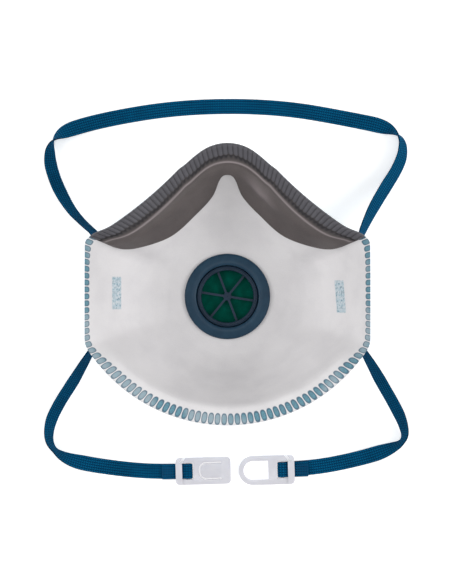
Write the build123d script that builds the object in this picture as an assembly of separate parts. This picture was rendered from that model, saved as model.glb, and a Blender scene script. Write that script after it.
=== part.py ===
from build123d import *
import math
import os

# ---------------------------------------------------------------------------
# Moulded cup respirator with an exhalation valve, laid on its valve cover.
# +Z points to the wearer, +Y to the nose, and the cup's box is centred on X = Y = 0.
# ---------------------------------------------------------------------------

# Cup outline, seen from the wearer's side
half_width = 67.4  # side walls
chin_reach = 67.2  # lowest point of the rim below the middle
chin_radius = 78.4
nose_reach = 67.2  # highest point of the rim above the middle
nose_tip_radius = 21.8
flank_start = (19.0, 59.2)  # nose flank, from beside the tip ...
flank_end = (61.5, 23.1)  # ... to the shoulder
flank_sag = 2.0  # hollow of the flank
shoulder_angle = 24.5
shoulder_spread = 4.0
shoulder_bump = 1.8
tip_blend_angle = 5.3  # either side of the joint between flank and tip
corner_blend = 1.6

# Cup depth
side_rim_height = 59.0
chin_rim_height = 53.0
nose_rim_height = 44.0
dome_power = 2.5
band_width = 7.0  # welded edge band
side_dome_power = 3.3
band_flare_start = 0.2  # sine of the angle where the band begins to flare
band_flare_run = 0.4
chin_band_slope = 30.0
nose_band_slope = 38.0
slope_blend = 1.6

# Layers of the cup, outside to inside
cover_layer = 0.6
filter_layer = 1.0
shell_layer = 0.9
layer_gap = 0.12
weld_squeeze = 0.45  # share of the thickness lost in the band

# Exhalation valve
valve_y = -6.0
land_radius = 22.0
land_height = 11.0
port_radius = 15.3
seat_tube_radius = 15.1
seat_bore_radius = 12.8
seat_flange_radius = 20.0
seat_flange_thickness = 1.5
seat_top_step = 1.6  # top of the seat below the top of the inner ring
ring_outer_radius = 21.0
ring_thickness = 2.4
ring_rim_thickness = 1.1
clamp_gap = 0.05
spoke_count = 6
spoke_width = 1.1
spoke_depth = 1.6
spoke_first_angle = -9.0
hub_radius = 2.1
stud_radius = 0.9
stud_length = 3.9
stud_head_radius = 1.7
stud_head_thickness = 0.6
seat_lip_width = 1.5
seat_lip_depth = 0.8
diaphragm_radius = 14.0
diaphragm_thickness = 0.5
diaphragm_lift = 1.2
diaphragm_gap = 0.03
stud_clearance = 0.15
cover_base_radius = 21.6
cover_front_radius = 17.5
cover_wall = 1.3
cover_front_thickness = 1.4
cover_clearance = 0.1
cover_slots = 10
cover_slot_width = 5.0
cover_slot_height = 4.2
cover_slot_base = 3.4

# Nose seal and nose clip
seal_thickness = 2.2
seal_gap = 0.15
clip_bar_plan_width = 4.0
clip_bar_thickness = 0.8
clip_bar_inset = 8.6
clip_bar_gap = 0.15
clip_bar_end_angle = 42.0

# Elastic
strap_width = 7.5
strap_thickness = 1.1
strap_floor_gap = 0.1
weld_length = 15.7
anchor_gap = 0.25  # welded elastic off the cup
hinge_gap = 1.5  # free elastic off the line it swings about

# Buckle clips on the neck straps
bar_radius = 0.6
bar_clearance = 0.1
buckle_length = 27.2
loop_length = 27.7
hook_side = 2.6  # window to outer side
loop_side = 3.1
rail_width = 2.7
window_length = 5.6
window_clearance = 0.35  # window to each side of the strap
end_bar_width = 3.2
end_bar_lift = 0.3
end_bar_thickness = 1.3
plate_thickness = 2.6
hook_root = 4.6
hook_turn = 1.6
loop_turn = 181.6
tongue_length = 10.4
tongue_width = 7.2
tongue_slit = 0.7
tongue_round = 0.42
loop_band = 2.5
loop_opening_length = 12.2
buckle_corner = 2.0
notch_width = 1.1
notch_angle = -35.0

# Sewn ends of the neck straps
hem_length = 13.0
stitch_width = 0.35
stitch_height = 0.15
stitch_margin = 0.6
stitch_count = 5
stitch_pitch = 1.2

# Strap routes: the middle of the elastic, point by point
head_route = [
    (-66.2, 26.0, 14.6),
    (-73.6, 32.3, 11.2),
    (-79.8, 40.6, 7.2),
    (-85.0, 50.6, 3.4),
    (-88.2, 61.6, 1.1),
    (-87.0, 71.6, 0.65),
    (-79.2, 76.4, 0.65),
    (-62.4, 81.4, 0.65),
    (-31.0, 86.9, 0.65),
    (0.0, 88.6, 0.65),
    (30.4, 87.2, 0.65),
    (59.0, 82.2, 0.65),
    (78.2, 78.0, 0.65),
    (86.4, 73.0, 0.65),
    (87.0, 64.6, 1.1),
    (83.6, 56.4, 3.4),
    (78.4, 48.4, 7.0),
    (73.8, 41.0, 10.0),
    (69.6, 33.6, 12.6),
    (66.2, 26.0, 14.6),
]
left_neck_route = [
    (-66.4, -32.0, 14.0),
    (-71.2, -39.8, 10.6),
    (-76.2, -48.2, 6.6),
    (-82.6, -57.8, 2.9),
    (-88.0, -68.4, 0.95),
    (-88.6, -79.2, 0.65),
    (-81.0, -86.0, 0.65),
    (-67.6, -89.4, 0.65),
    (-50.4, -91.8, 0.65),
    (-34.4, -92.9, 0.65),
    (-19.6, -92.6, 0.65),
]
right_neck_route = [
    (66.4, -32.0, 14.0),
    (71.2, -39.8, 10.6),
    (75.9, -48.2, 6.6),
    (81.6, -57.8, 2.9),
    (86.8, -68.0, 0.95),
    (88.4, -77.4, 0.65),
    (79.2, -82.0, 0.65),
    (65.4, -86.4, 0.65),
    (50.4, -89.6, 0.65),
    (38.6, -91.1, 0.65),
    (27.2, -91.8, 0.65),
]
level_run = 7  # the run on which each strap lies level
left_weld = (-53.6, -4.5)
right_weld = (54.2, -5.2)

# The nose seal's free edge, seen by the wearer, from the middle to the right shoulder
seal_edge = [
    (0.0, 51.6),
    (3.5, 50.3),
    (7.5, 42.5),
    (15.5, 34.0),
    (28.0, 23.4),
    (44.5, 17.5),
    (58.0, 18.4),
    (64.6, 21.4),
    (70.0, 23.0),
]

# Angles of the cup's radial sections, in degrees, and points along each
cup_stations = [-90, -78, -66, -54, -43, -33, -24, -17, -10, -2, 6, 13, 18, 23, 27]
cup_stations += [31, 38, 46, 55, 64, 71, 76, 80, 84, 87, 90]
wall_samples = 9
dense_samples = 160

# ---------------------------------------------------------------------------
# Worked-out sizes
# ---------------------------------------------------------------------------
layers_total = cover_layer + filter_layer + shell_layer + 2 * layer_gap
ring_base = land_height + layers_total + clamp_gap
ring_top = ring_base + ring_thickness
seat_top = ring_top - seat_top_step
seat_flange_top = land_height - clamp_gap
seat_flange_base = seat_flange_top - seat_flange_thickness
seat_face = seat_flange_base - seat_lip_depth
spoke_base = seat_flange_base
diaphragm_top = seat_face - diaphragm_gap
window_width = strap_width + 2 * window_clearance
hook_width = window_width + 2 * hook_side
loop_width = window_width + 2 * loop_side
eye_radius = bar_radius + bar_clearance + strap_thickness
bar_height = strap_floor_gap + eye_radius
hem_top = strap_floor_gap + 2 * strap_thickness
fit_step = 0.001


def smooth_min(a, b, blend):
    """The smaller of two values, with a rounded change-over of the given size."""
    share = max(0.0, min(1.0, 0.5 + 0.5 * (b - a) / blend))
    return b * (1 - share) + a * share - blend * share * (1 - share)


def ease(share):
    """0 to 1 with level ends."""
    share = max(0.0, min(1.0, share))
    return share * share * (3 - 2 * share)


def flank_circle():
    """Centre and radius of the arc that hollows the nose flank."""
    (x0, y0), (x1, y1) = flank_start, flank_end
    chord = math.dist(flank_start, flank_end)
    radius = chord**2 / (8 * flank_sag) + flank_sag / 2
    out_x, out_y = (y0 - y1) / chord, (x1 - x0) / chord
    reach = radius - flank_sag
    return ((x0 + x1) / 2 + out_x * reach, (y0 + y1) / 2 + out_y * reach, radius)


def rim_radius(angle):
    """Distance of the rim from the valve axis at an angle in degrees, 90 at the nose."""
    turn = min(angle, 180 - angle)
    ux, uy = math.cos(math.radians(turn)), math.sin(math.radians(turn))
    chin_y = chin_radius - chin_reach - valve_y
    chin = chin_y * uy + math.sqrt(chin_radius**2 - (chin_y * ux) ** 2)
    reach = smooth_min(chin, half_width / max(ux, fit_step), corner_blend)
    if uy > 0:
        cx, cy, radius = flank_circle()
        cy -= valve_y
        along = cx * ux + cy * uy
        flank = along - math.sqrt(along**2 - cx**2 - cy**2 + radius**2)
        flank += shoulder_bump * math.exp(-(((turn - shoulder_angle) / shoulder_spread) ** 2))
        tip_y = nose_reach - nose_tip_radius - valve_y
        tip = tip_y * uy + math.sqrt(max(0.0, nose_tip_radius**2 - (tip_y * ux) ** 2))
        joint = math.degrees(math.atan2(flank_start[1] - valve_y, flank_start[0]))
        share = ease((turn - joint) / (2 * tip_blend_angle) + 0.5)
        reach = smooth_min(reach, flank + (tip - flank) * share, corner_blend)
    return reach


def rim_height(angle):
    """Height of the outside of the rim."""
    rise = math.sin(math.radians(angle))
    low = nose_rim_height if rise > 0 else chin_rim_height
    return side_rim_height - (side_rim_height - low) * rise * rise


def band_share(angle):
    """How far the edge band flares out of the wall: 0 at the sides, 1 at chin and nose."""
    return ease((abs(math.sin(math.radians(angle))) - band_flare_start) / band_flare_run)


def cup_height(angle, radius):
    """Height of the cup's outside at a distance from the valve axis."""
    rim, top, flare = rim_radius(angle), rim_height(angle), band_share(angle)
    slope = math.tan(math.radians(nose_band_slope if angle > 0 else chin_band_slope))
    power = side_dome_power + (dome_power - side_dome_power) * flare
    run = max(0.0, radius - land_radius)
    depth = top - land_height
    plain = land_height + depth * (run / (rim - land_radius)) ** power
    dome = land_height + depth * (run / (rim - band_width * 0.8 - land_radius)) ** power
    band = smooth_min(dome, top - (rim - radius) * slope, slope_blend)
    flared = dome + (band - dome) * ease((radius - rim + band_width * 2.4) / band_width)
    return plain + (flared - plain) * flare


def wall_point(angle, radius, depth):
    """A point at a depth inside the cup's outer surface, as (distance from the valve axis, height)."""
    step = 0.02
    slope = (cup_height(angle, radius + step) - cup_height(angle, radius - step)) / (2 * step)
    if radius <= land_radius:
        slope = 0.0
    length = math.hypot(1.0, slope)
    near_rim = ease(1 - (rim_radius(angle) - radius) / (band_width * 1.4))
    depth = depth * (1 - weld_squeeze * near_rim)
    return radius - depth * slope / length, cup_height(angle, radius) + depth / length


def even_radii(angle, start, end, count):
    """Distances from the valve axis that are evenly spaced along the wall."""
    dense = [start + (end - start) * i / dense_samples for i in range(dense_samples + 1)]
    travelled = [0.0]
    for a, b in zip(dense, dense[1:]):
        travelled.append(travelled[-1] + math.hypot(b - a, cup_height(angle, b) - cup_height(angle, a)))
    radii = []
    place = 0
    for i in range(count):
        wanted = travelled[-1] * i / (count - 1)
        while place < dense_samples - 1 and travelled[place + 1] < wanted:
            place += 1
        span = travelled[place + 1] - travelled[place]
        share = (wanted - travelled[place]) / span
        radii.append(dense[place] + (dense[place + 1] - dense[place]) * share)
    return radii


def radial_point(angle, radius, height):
    """A point of space from its angle and distance about the valve axis."""
    a = math.radians(angle)
    return Vector(radius * math.cos(a), valve_y + radius * math.sin(a), height)


def wall_curve(angle, start, end, depth, count=wall_samples):
    """A smooth line along the wall at one depth, in one radial plane."""
    points = [wall_point(angle, r, depth) for r in even_radii(angle, start, end, count)]
    return [radial_point(angle, r, z) for r, z in points]


def closed_section(*stretches):
    """A wire of splines or straight stretches whose ends are joined by straight lines."""
    edges = []
    for i, points in enumerate(stretches):
        edges.append(Edge.make_spline(points) if len(points) > 2 else Edge.make_line(*points))
        after = stretches[(i + 1) % len(stretches)][0]
        if (points[-1] - after).length > fit_step:
            edges.append(Edge.make_line(points[-1], after))
    return Wire(edges)


def both_halves(half):
    """A half and its mirror image across the YZ plane, as one solid."""
    whole = half + half.mirror(Plane.YZ)
    return whole.clean()


def cup_layer(depth, thickness):
    """One layer of the cup, between two depths inside its outer surface."""
    sections = []
    for angle in cup_stations:
        rim = rim_radius(angle)
        outer = wall_curve(angle, land_radius, rim, depth)
        inner = wall_curve(angle, land_radius, rim, depth + thickness)
        port_low = radial_point(angle, port_radius, land_height + depth)
        port_high = radial_point(angle, port_radius, land_height + depth + thickness)
        sections.append(closed_section([port_low, outer[0]], outer, inner[::-1], [inner[0], port_high]))
    return both_halves(Solid.make_loft(sections))


def slice_of_layer(layer, edges):
    """What stands inside a closed outline in plan, of one layer of the cup."""
    outline = make_face(edges)
    return layer & extrude(outline, side_rim_height * 2)


def nose_seal():
    """Foam over the top of the cup's inside, from the rim to its free edge."""
    layer = cup_layer(layers_total + seal_gap, seal_thickness)
    free_edge = [(-x, y) for x, y in seal_edge[:0:-1]] + seal_edge
    (left_x, left_y), (right_x, right_y) = free_edge[0], free_edge[-1]
    beyond = nose_reach * 2
    frame = Polyline((right_x, right_y), (right_x, beyond), (left_x, beyond), (left_x, left_y))
    return slice_of_layer(layer, [Spline(*free_edge), frame])


def rim_line(inset, first, last, steps=24):
    """Points of the rim's plan, moved towards the valve axis, between two angles."""
    angles = [first + (last - first) * i / steps for i in range(steps + 1)]
    points = [radial_point(angle, rim_radius(angle) - inset, 0) for angle in angles]
    return [(point.X, point.Y) for point in points]


def nose_clip():
    """Soft aluminium strip over the outside of the nose, along the welded band."""
    layer = cup_layer(-clip_bar_gap - clip_bar_thickness, clip_bar_thickness)
    high = rim_line(clip_bar_inset, clip_bar_end_angle, 180 - clip_bar_end_angle)
    low = rim_line(clip_bar_inset + clip_bar_plan_width, 180 - clip_bar_end_angle, clip_bar_end_angle)
    ends = [Line(high[-1], low[0]), Line(low[-1], high[0])]
    return slice_of_layer(layer, [Spline(*high), Spline(*low), *ends])


def turned(points):
    """A solid of revolution about the valve axis from (radius, height) points."""
    face = make_face(Polyline([(r, 0, z) for r, z in points], close=True))
    return Pos(0, valve_y, 0) * revolve(face, Axis.Z, 360)


def around_valve(solid, angle):
    """A copy of a solid made about the world Z axis, turned and set on the valve axis."""
    return Pos(0, valve_y, 0) * Rot(0, 0, angle) * solid


def valve_inner_ring():
    """Flange seen by the wearer, with a domed top."""
    crown = ring_outer_radius - (ring_outer_radius - port_radius) * 0.45
    points = [
        (seat_tube_radius + clamp_gap, ring_base),
        (ring_outer_radius, ring_base),
        (ring_outer_radius, ring_base + ring_rim_thickness),
        (ring_outer_radius - 0.8, ring_base + ring_rim_thickness + 0.6),
        (crown, ring_top),
        (seat_tube_radius + 1.0, ring_top),
        (seat_tube_radius + clamp_gap, ring_top - 0.6),
    ]
    return turned(points)


def valve_seat():
    """Valve body: outer flange, tube through the cup, seat lip, spokes, hub and stud."""
    body = turned([
        (seat_bore_radius, seat_face),
        (seat_bore_radius + seat_lip_width, seat_face),
        (seat_bore_radius + seat_lip_width, seat_flange_base),
        (seat_flange_radius, seat_flange_base),
        (seat_flange_radius, seat_flange_top),
        (seat_tube_radius, seat_flange_top),
        (seat_tube_radius, seat_top - 0.5),
        (seat_tube_radius - 0.5, seat_top),
        (seat_bore_radius, seat_top),
    ])
    spoke_run = seat_bore_radius + 0.6
    spoke = Pos(spoke_run / 2, 0, spoke_base + spoke_depth / 2) * Box(spoke_run, spoke_width, spoke_depth)
    for i in range(spoke_count):
        body += around_valve(spoke, spoke_first_angle + 360 / spoke_count * i)
    stud_base = spoke_base - stud_length
    hub = Pos(0, 0, spoke_base + spoke_depth / 2) * Cylinder(hub_radius, spoke_depth)
    stud = Pos(0, 0, spoke_base - stud_length / 2) * Cylinder(stud_radius, stud_length)
    head = Pos(0, 0, stud_base + stud_head_thickness / 2) * Cylinder(stud_head_radius, stud_head_thickness)
    for piece in (hub, stud, head):
        body += around_valve(piece, 0)
    return body


def valve_diaphragm():
    """Thin disc under the seat, free to lift along the stud."""
    hole = stud_radius + stud_clearance
    low = diaphragm_top - diaphragm_thickness
    inner, outer = hole, diaphragm_radius
    return turned([(inner, low), (outer, low), (outer, diaphragm_top), (inner, diaphragm_top)])


def valve_cover():
    """Slotted cap over the outside of the valve, with the flat face that the cup lies on."""
    top = seat_flange_top
    skirt_inner = seat_flange_radius + cover_clearance
    body = turned([
        (0, 0),
        (cover_front_radius - 2.0, 0),
        (cover_front_radius, 0.9),
        (cover_base_radius, top),
        (skirt_inner, top),
        (skirt_inner, seat_flange_base - cover_clearance),
        (skirt_inner - 1.0, seat_flange_base - cover_clearance),
        (cover_front_radius - cover_wall, cover_front_thickness),
        (0, cover_front_thickness),
    ])
    slot = Pos(cover_front_radius, 0, cover_slot_base + cover_slot_height / 2) * Box(
        12, cover_slot_width, cover_slot_height
    )
    for i in range(cover_slots):
        body -= around_valve(slot, 360 / cover_slots * (i + 0.5))
    return body


def corner_radii(points):
    """The largest fair arc at each corner of a route."""
    radii = []
    for before, here, after in zip(points, points[1:], points[2:]):
        a, b = Vector(*here) - Vector(*before), Vector(*after) - Vector(*here)
        turn = math.radians(a.get_angle(b))
        radii.append(0.45 * min(a.length, b.length) / math.tan(turn / 2))
    return radii


def level_across(points, run, across):
    """The direction across the strap at its start, from the wanted direction on one run."""
    runs = [(Vector(*b) - Vector(*a)).normalized() for a, b in zip(points, points[1:])]
    for here, before in zip(runs[run:0:-1], runs[run - 1 :: -1]):
        turn_axis = here.cross(before)
        if turn_axis.length > fit_step:
            across = across.rotate(Axis((0, 0, 0), turn_axis), here.get_angle(before))
    return across


def ribbon(name, points, run, across=None):
    """A flat elastic strap along a route of straight runs and tangent arcs."""
    radii = corner_radii(points)
    path = Wire(FilletPolyline(*points, radius=radii).edges())
    start = Vector(*points[0])
    along = (Vector(*points[1]) - start).normalized()
    if across is None:
        across = Vector(0, 0, 1).cross(Vector(*points[run + 1]) - Vector(*points[run])).normalized()
    plane = Plane(origin=start, x_dir=level_across(points, run, across), z_dir=along)
    section = plane * Rectangle(strap_width, strap_thickness)
    solid = Solid.sweep(section.face(), path)
    fill = solid.volume / (path.length * strap_width * strap_thickness)
    print(name, "radii", [round(r, 1) for r in radii])
    print(name, "length", round(path.length, 1), "volume over section times length", round(fill, 3))
    return solid


def shortened(points, gap):
    """A route that starts a gap later and ends a gap earlier."""
    first, last = Vector(*points[0]), Vector(*points[-1])
    start = first + (Vector(*points[1]) - first).normalized() * gap
    end = last + (Vector(*points[-2]) - last).normalized() * gap
    return [tuple(start), *points[1:-1], tuple(end)]


def strap_end(name, weld, top_exit, bottom_exit):
    """The stretch of elastic that is welded to the side of the cup, between its two exits."""
    side = 1 if weld[0] > 0 else -1
    angle = math.degrees(math.atan2(weld[1] - valve_y, abs(weld[0])))
    reach = math.hypot(weld[0], weld[1] - valve_y)
    depth = -anchor_gap - strap_thickness / 2
    low, here, high = (wall_point(angle, reach + shift, depth) for shift in (-1, 0, 1))
    middle = radial_point(angle, *here)
    middle = Vector(side * middle.X, middle.Y, middle.Z)
    half_weld = Vector(0, weld_length / 2, 0)
    slope = Vector(side * (high[0] - low[0]), 0, high[1] - low[1]).normalized()
    points = [top_exit, tuple(middle + half_weld), tuple(middle - half_weld), bottom_exit]
    return ribbon(name, shortened(points, hinge_gap), 1, slope)


def slab(x0, x1, width, z0, z1):
    """A box from x0 to x1 and z0 to z1, centred across."""
    return Pos((x0 + x1) / 2, 0, (z0 + z1) / 2) * Box(x1 - x0, width, z1 - z0)


def buckle_blank(length, width, round_end, notch_side):
    """Plate, raised end bar with a tunnel for the hem, window, the bar in it, and a notch in one rail."""
    tail = window_length / 2 + end_bar_width
    end_radius = width / 2 - fit_step if round_end else buckle_corner
    outline = Pos(length / 2 - tail, 0) * Rectangle(length, width)
    corners = outline.vertices().sort_by(Axis.X)
    outline = fillet(corners[2:], end_radius)
    outline = fillet(outline.vertices().sort_by(Axis.X)[:2], buckle_corner)
    body = Pos(0, 0, -plate_thickness / 2) * extrude(outline, plate_thickness)
    end_low = hem_top - bar_height + end_bar_lift
    end_block = slab(-tail, -window_length / 2, width, 0, end_low + end_bar_thickness)
    corner_edges = end_block.edges().filter_by(Axis.Z).sort_by(Axis.X)[:2]
    body += fillet(corner_edges, buckle_corner)
    body -= slab(-tail - 1, -window_length / 2, window_width, -plate_thickness, end_low)
    body -= slab(-window_length / 2, window_length / 2, window_width, -plate_thickness, plate_thickness * 2)
    notch_place = Pos(-window_length / 2 + notch_width, notch_side * width / 2, 0)
    notch = notch_place * Rot(0, 0, notch_side * notch_angle) * Box(notch_width, width, plate_thickness * 4)
    reach = slab(-tail, window_length, width * 2, -plate_thickness * 2, plate_thickness * 2)
    rail = Box(length, 2 * width - window_width + fit_step, plate_thickness * 4)
    body -= notch & reach & (Pos(0, notch_side * width, 0) * rail)
    return body + Rot(90, 0, 0) * Cylinder(bar_radius, width - rail_width)


def hook_clip():
    """Clip with a sprung tongue that is rooted at its far end."""
    body = buckle_blank(buckle_length, hook_width, False, 1)
    end = buckle_length - window_length / 2 - end_bar_width
    root = end - hook_root
    tip = root - tongue_length
    outer = tongue_width + 2 * tongue_slit
    slot = Pos((tip - tongue_slit + root) / 2, 0) * Rectangle(root - tip + tongue_slit, outer)
    slot = fillet(slot.vertices().sort_by(Axis.X)[:2], outer * tongue_round)
    tongue = Pos((tip + root) / 2, 0) * Rectangle(root - tip, tongue_width)
    tongue = fillet(tongue.vertices().sort_by(Axis.X)[:2], tongue_width * tongue_round)
    return body - Pos(0, 0, -plate_thickness) * extrude(slot - tongue, 2 * plate_thickness)


def loop_clip():
    """Clip with a D-shaped ring for the hook."""
    body = buckle_blank(loop_length, loop_width, True, -1)
    end = loop_length - window_length / 2 - end_bar_width - loop_band
    start = end - loop_opening_length
    width = loop_width - 2 * loop_band
    opening = Pos((start + end) / 2, 0) * Rectangle(end - start, width)
    opening = fillet(opening.vertices().sort_by(Axis.X)[2:], width / 2 - fit_step)
    return body - Pos(0, 0, -plate_thickness) * extrude(opening, 2 * plate_thickness)


def clip_frame(route, turn):
    """Where a clip's bar lies: at the end of its strap's route, turned about Z."""
    x, y, _ = route[-1]
    return Pos(x, y, bar_height) * Rot(0, 0, turn)


def neck_strap(name, route, turn):
    """Free elastic from the side of the cup to its clip, with its sewn end around the clip's bar."""
    x, y, z = route[-1]
    back = math.radians(turn)
    end = (x - eye_radius * math.cos(back), y - eye_radius * math.sin(back), z)
    first = shortened([*route[:-1], end], hinge_gap)[0]
    strap = ribbon(name, [first, *route[1:-1], end], level_run)
    hollow = Cylinder(bar_radius + bar_clearance, strap_width * 2)
    eye = Rot(90, 0, 0) * (Cylinder(eye_radius, strap_width) - hollow)
    low = strap_floor_gap - bar_height
    hem = slab(-hem_length, 0, strap_width, low, hem_top - bar_height)
    hem -= Rot(90, 0, 0) * Cylinder((eye_radius + bar_radius) / 2, strap_width * 2)
    return strap + clip_frame(route, turn) * (eye + hem)


def hem_stitching(route, turn):
    """Rows of thread on the sewn end of a neck strap."""
    top = hem_top - bar_height
    rows = []
    for i in range(stitch_count):
        x = -hem_length + stitch_margin + stitch_pitch * i
        if x < -window_length / 2 - end_bar_width - stitch_margin:
            stitch = Box(stitch_width, strap_width * 0.7, stitch_height)
            rows.append(Pos(x, 0, top + stitch_height / 2) * stitch)
    return Compound([clip_frame(route, turn) * row for row in rows])


def build():
    """All pieces by name."""
    pieces = {}
    depth = 0.0
    layers = {"outer_cover": cover_layer, "filter_media": filter_layer, "inner_shell": shell_layer}
    for name, thickness in layers.items():
        pieces[name] = cup_layer(depth, thickness)
        depth += thickness + layer_gap
    pieces["nose_seal"] = nose_seal()
    pieces["nose_clip"] = nose_clip()
    pieces["valve_inner_ring"] = valve_inner_ring()
    pieces["valve_seat"] = valve_seat()
    pieces["valve_diaphragm"] = valve_diaphragm()
    pieces["valve_cover"] = valve_cover()
    pieces["left_strap_end"] = strap_end("left_strap_end", left_weld, head_route[0], left_neck_route[0])
    pieces["right_strap_end"] = strap_end("right_strap_end", right_weld, head_route[-1], right_neck_route[0])
    pieces["head_strap"] = ribbon("head_strap", shortened(head_route, hinge_gap), level_run)
    pieces["left_neck_strap"] = neck_strap("left_neck_strap", left_neck_route, hook_turn)
    pieces["right_neck_strap"] = neck_strap("right_neck_strap", right_neck_route, loop_turn)
    pieces["hook_clip"] = clip_frame(left_neck_route, hook_turn) * hook_clip()
    pieces["loop_clip"] = clip_frame(right_neck_route, loop_turn) * loop_clip()
    pieces["hook_hem_stitching"] = hem_stitching(left_neck_route, hook_turn)
    pieces["loop_hem_stitching"] = hem_stitching(right_neck_route, loop_turn)
    return pieces


os.makedirs("parts", exist_ok=True)
for node, piece in build().items():
    export_step(piece, f"parts/{node}.step")
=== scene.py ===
"""A moulded cup respirator, seen from the wearer's side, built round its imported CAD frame."""

import logging
import math
from dataclasses import dataclass, field
from enum import Enum
from typing import Iterable, Sequence

import bmesh
import bpy
import numpy as np
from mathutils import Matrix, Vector


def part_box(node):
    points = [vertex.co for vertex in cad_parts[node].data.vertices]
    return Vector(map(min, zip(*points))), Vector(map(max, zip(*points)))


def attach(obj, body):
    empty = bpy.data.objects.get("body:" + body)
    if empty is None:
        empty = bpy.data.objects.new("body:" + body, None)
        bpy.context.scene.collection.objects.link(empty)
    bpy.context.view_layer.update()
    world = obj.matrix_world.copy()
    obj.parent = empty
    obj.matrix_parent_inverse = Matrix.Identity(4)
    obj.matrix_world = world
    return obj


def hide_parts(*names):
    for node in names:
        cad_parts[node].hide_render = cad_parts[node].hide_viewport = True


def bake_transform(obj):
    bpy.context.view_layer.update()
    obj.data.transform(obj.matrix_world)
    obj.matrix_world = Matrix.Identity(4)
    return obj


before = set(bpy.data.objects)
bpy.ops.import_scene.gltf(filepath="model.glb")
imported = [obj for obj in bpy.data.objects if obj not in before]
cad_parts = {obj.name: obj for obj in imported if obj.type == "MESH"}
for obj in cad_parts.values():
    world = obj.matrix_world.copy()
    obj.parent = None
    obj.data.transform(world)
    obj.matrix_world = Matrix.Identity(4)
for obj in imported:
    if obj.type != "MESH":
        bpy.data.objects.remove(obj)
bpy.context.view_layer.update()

MM = 0.001
UV_PER_METRE = 100
FLOOR_Z = 0.0
log = logging.getLogger("respirator")


# ----------------------------------------------------------------------------------------------
# Shader maths
# ----------------------------------------------------------------------------------------------
class Value:
    """A number or colour that a shader node gives, with Python's own signs for its maths."""

    def __init__(self, graph: "Graph", socket: bpy.types.NodeSocket) -> None:
        """Wraps one output socket of a graph."""
        self.graph = graph
        self.socket = socket

    def _math(self, operation: str, *terms: "Term") -> "Value":
        """One Math node on this value and others."""
        return self.graph.math(operation, *terms)

    def __add__(self, other: "Term") -> "Value":
        """self + other"""
        return self._math("ADD", self, other)

    __radd__ = __add__

    def __mul__(self, other: "Term") -> "Value":
        """self * other"""
        return self._math("MULTIPLY", self, other)

    __rmul__ = __mul__

    def __sub__(self, other: "Term") -> "Value":
        """self - other"""
        return self._math("SUBTRACT", self, other)

    def __rsub__(self, other: "Term") -> "Value":
        """other - self"""
        return self._math("SUBTRACT", other, self)

    def __truediv__(self, other: "Term") -> "Value":
        """self / other"""
        return self._math("DIVIDE", self, other)

    def __pow__(self, other: "Term") -> "Value":
        """self ** other"""
        return self._math("POWER", self, other)

    def __abs__(self) -> "Value":
        """Absolute value."""
        return self._math("ABSOLUTE", self)

    def fraction(self) -> "Value":
        """What is left above the whole number below."""
        return self._math("FRACT", self)

    def sine(self) -> "Value":
        """Sine, in radians."""
        return self._math("SINE", self)

    def larger(self, other: "Term") -> "Value":
        """The larger of two."""
        return self._math("MAXIMUM", self, other)

    def step(self, low: float, high: float) -> "Value":
        """0 at low, 1 at high, smooth between. High may be the smaller of the two.

        Args:
            low: Where the result is 0.
            high: Where the result is 1.

        Returns:
            The eased share.
        """
        return self.graph.node(
            "ShaderNodeMapRange",
            {"interpolation_type": "SMOOTHSTEP"},
            {"Value": self, "From Min": low, "From Max": high},
        )


Term = "Value | float"
Colour = tuple[float, float, float, float]


def srgb(red: float, green: float, blue: float) -> Colour:
    """A linear colour from screen values of 0 to 255.

    Args:
        red: Screen red.
        green: Screen green.
        blue: Screen blue.

    Returns:
        The linear colour, opaque.
    """
    def linear(level: float) -> float:
        share = level / 255
        return share / 12.92 if share <= 0.04045 else ((share + 0.055) / 1.055) ** 2.4

    return (linear(red), linear(green), linear(blue), 1.0)


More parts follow.
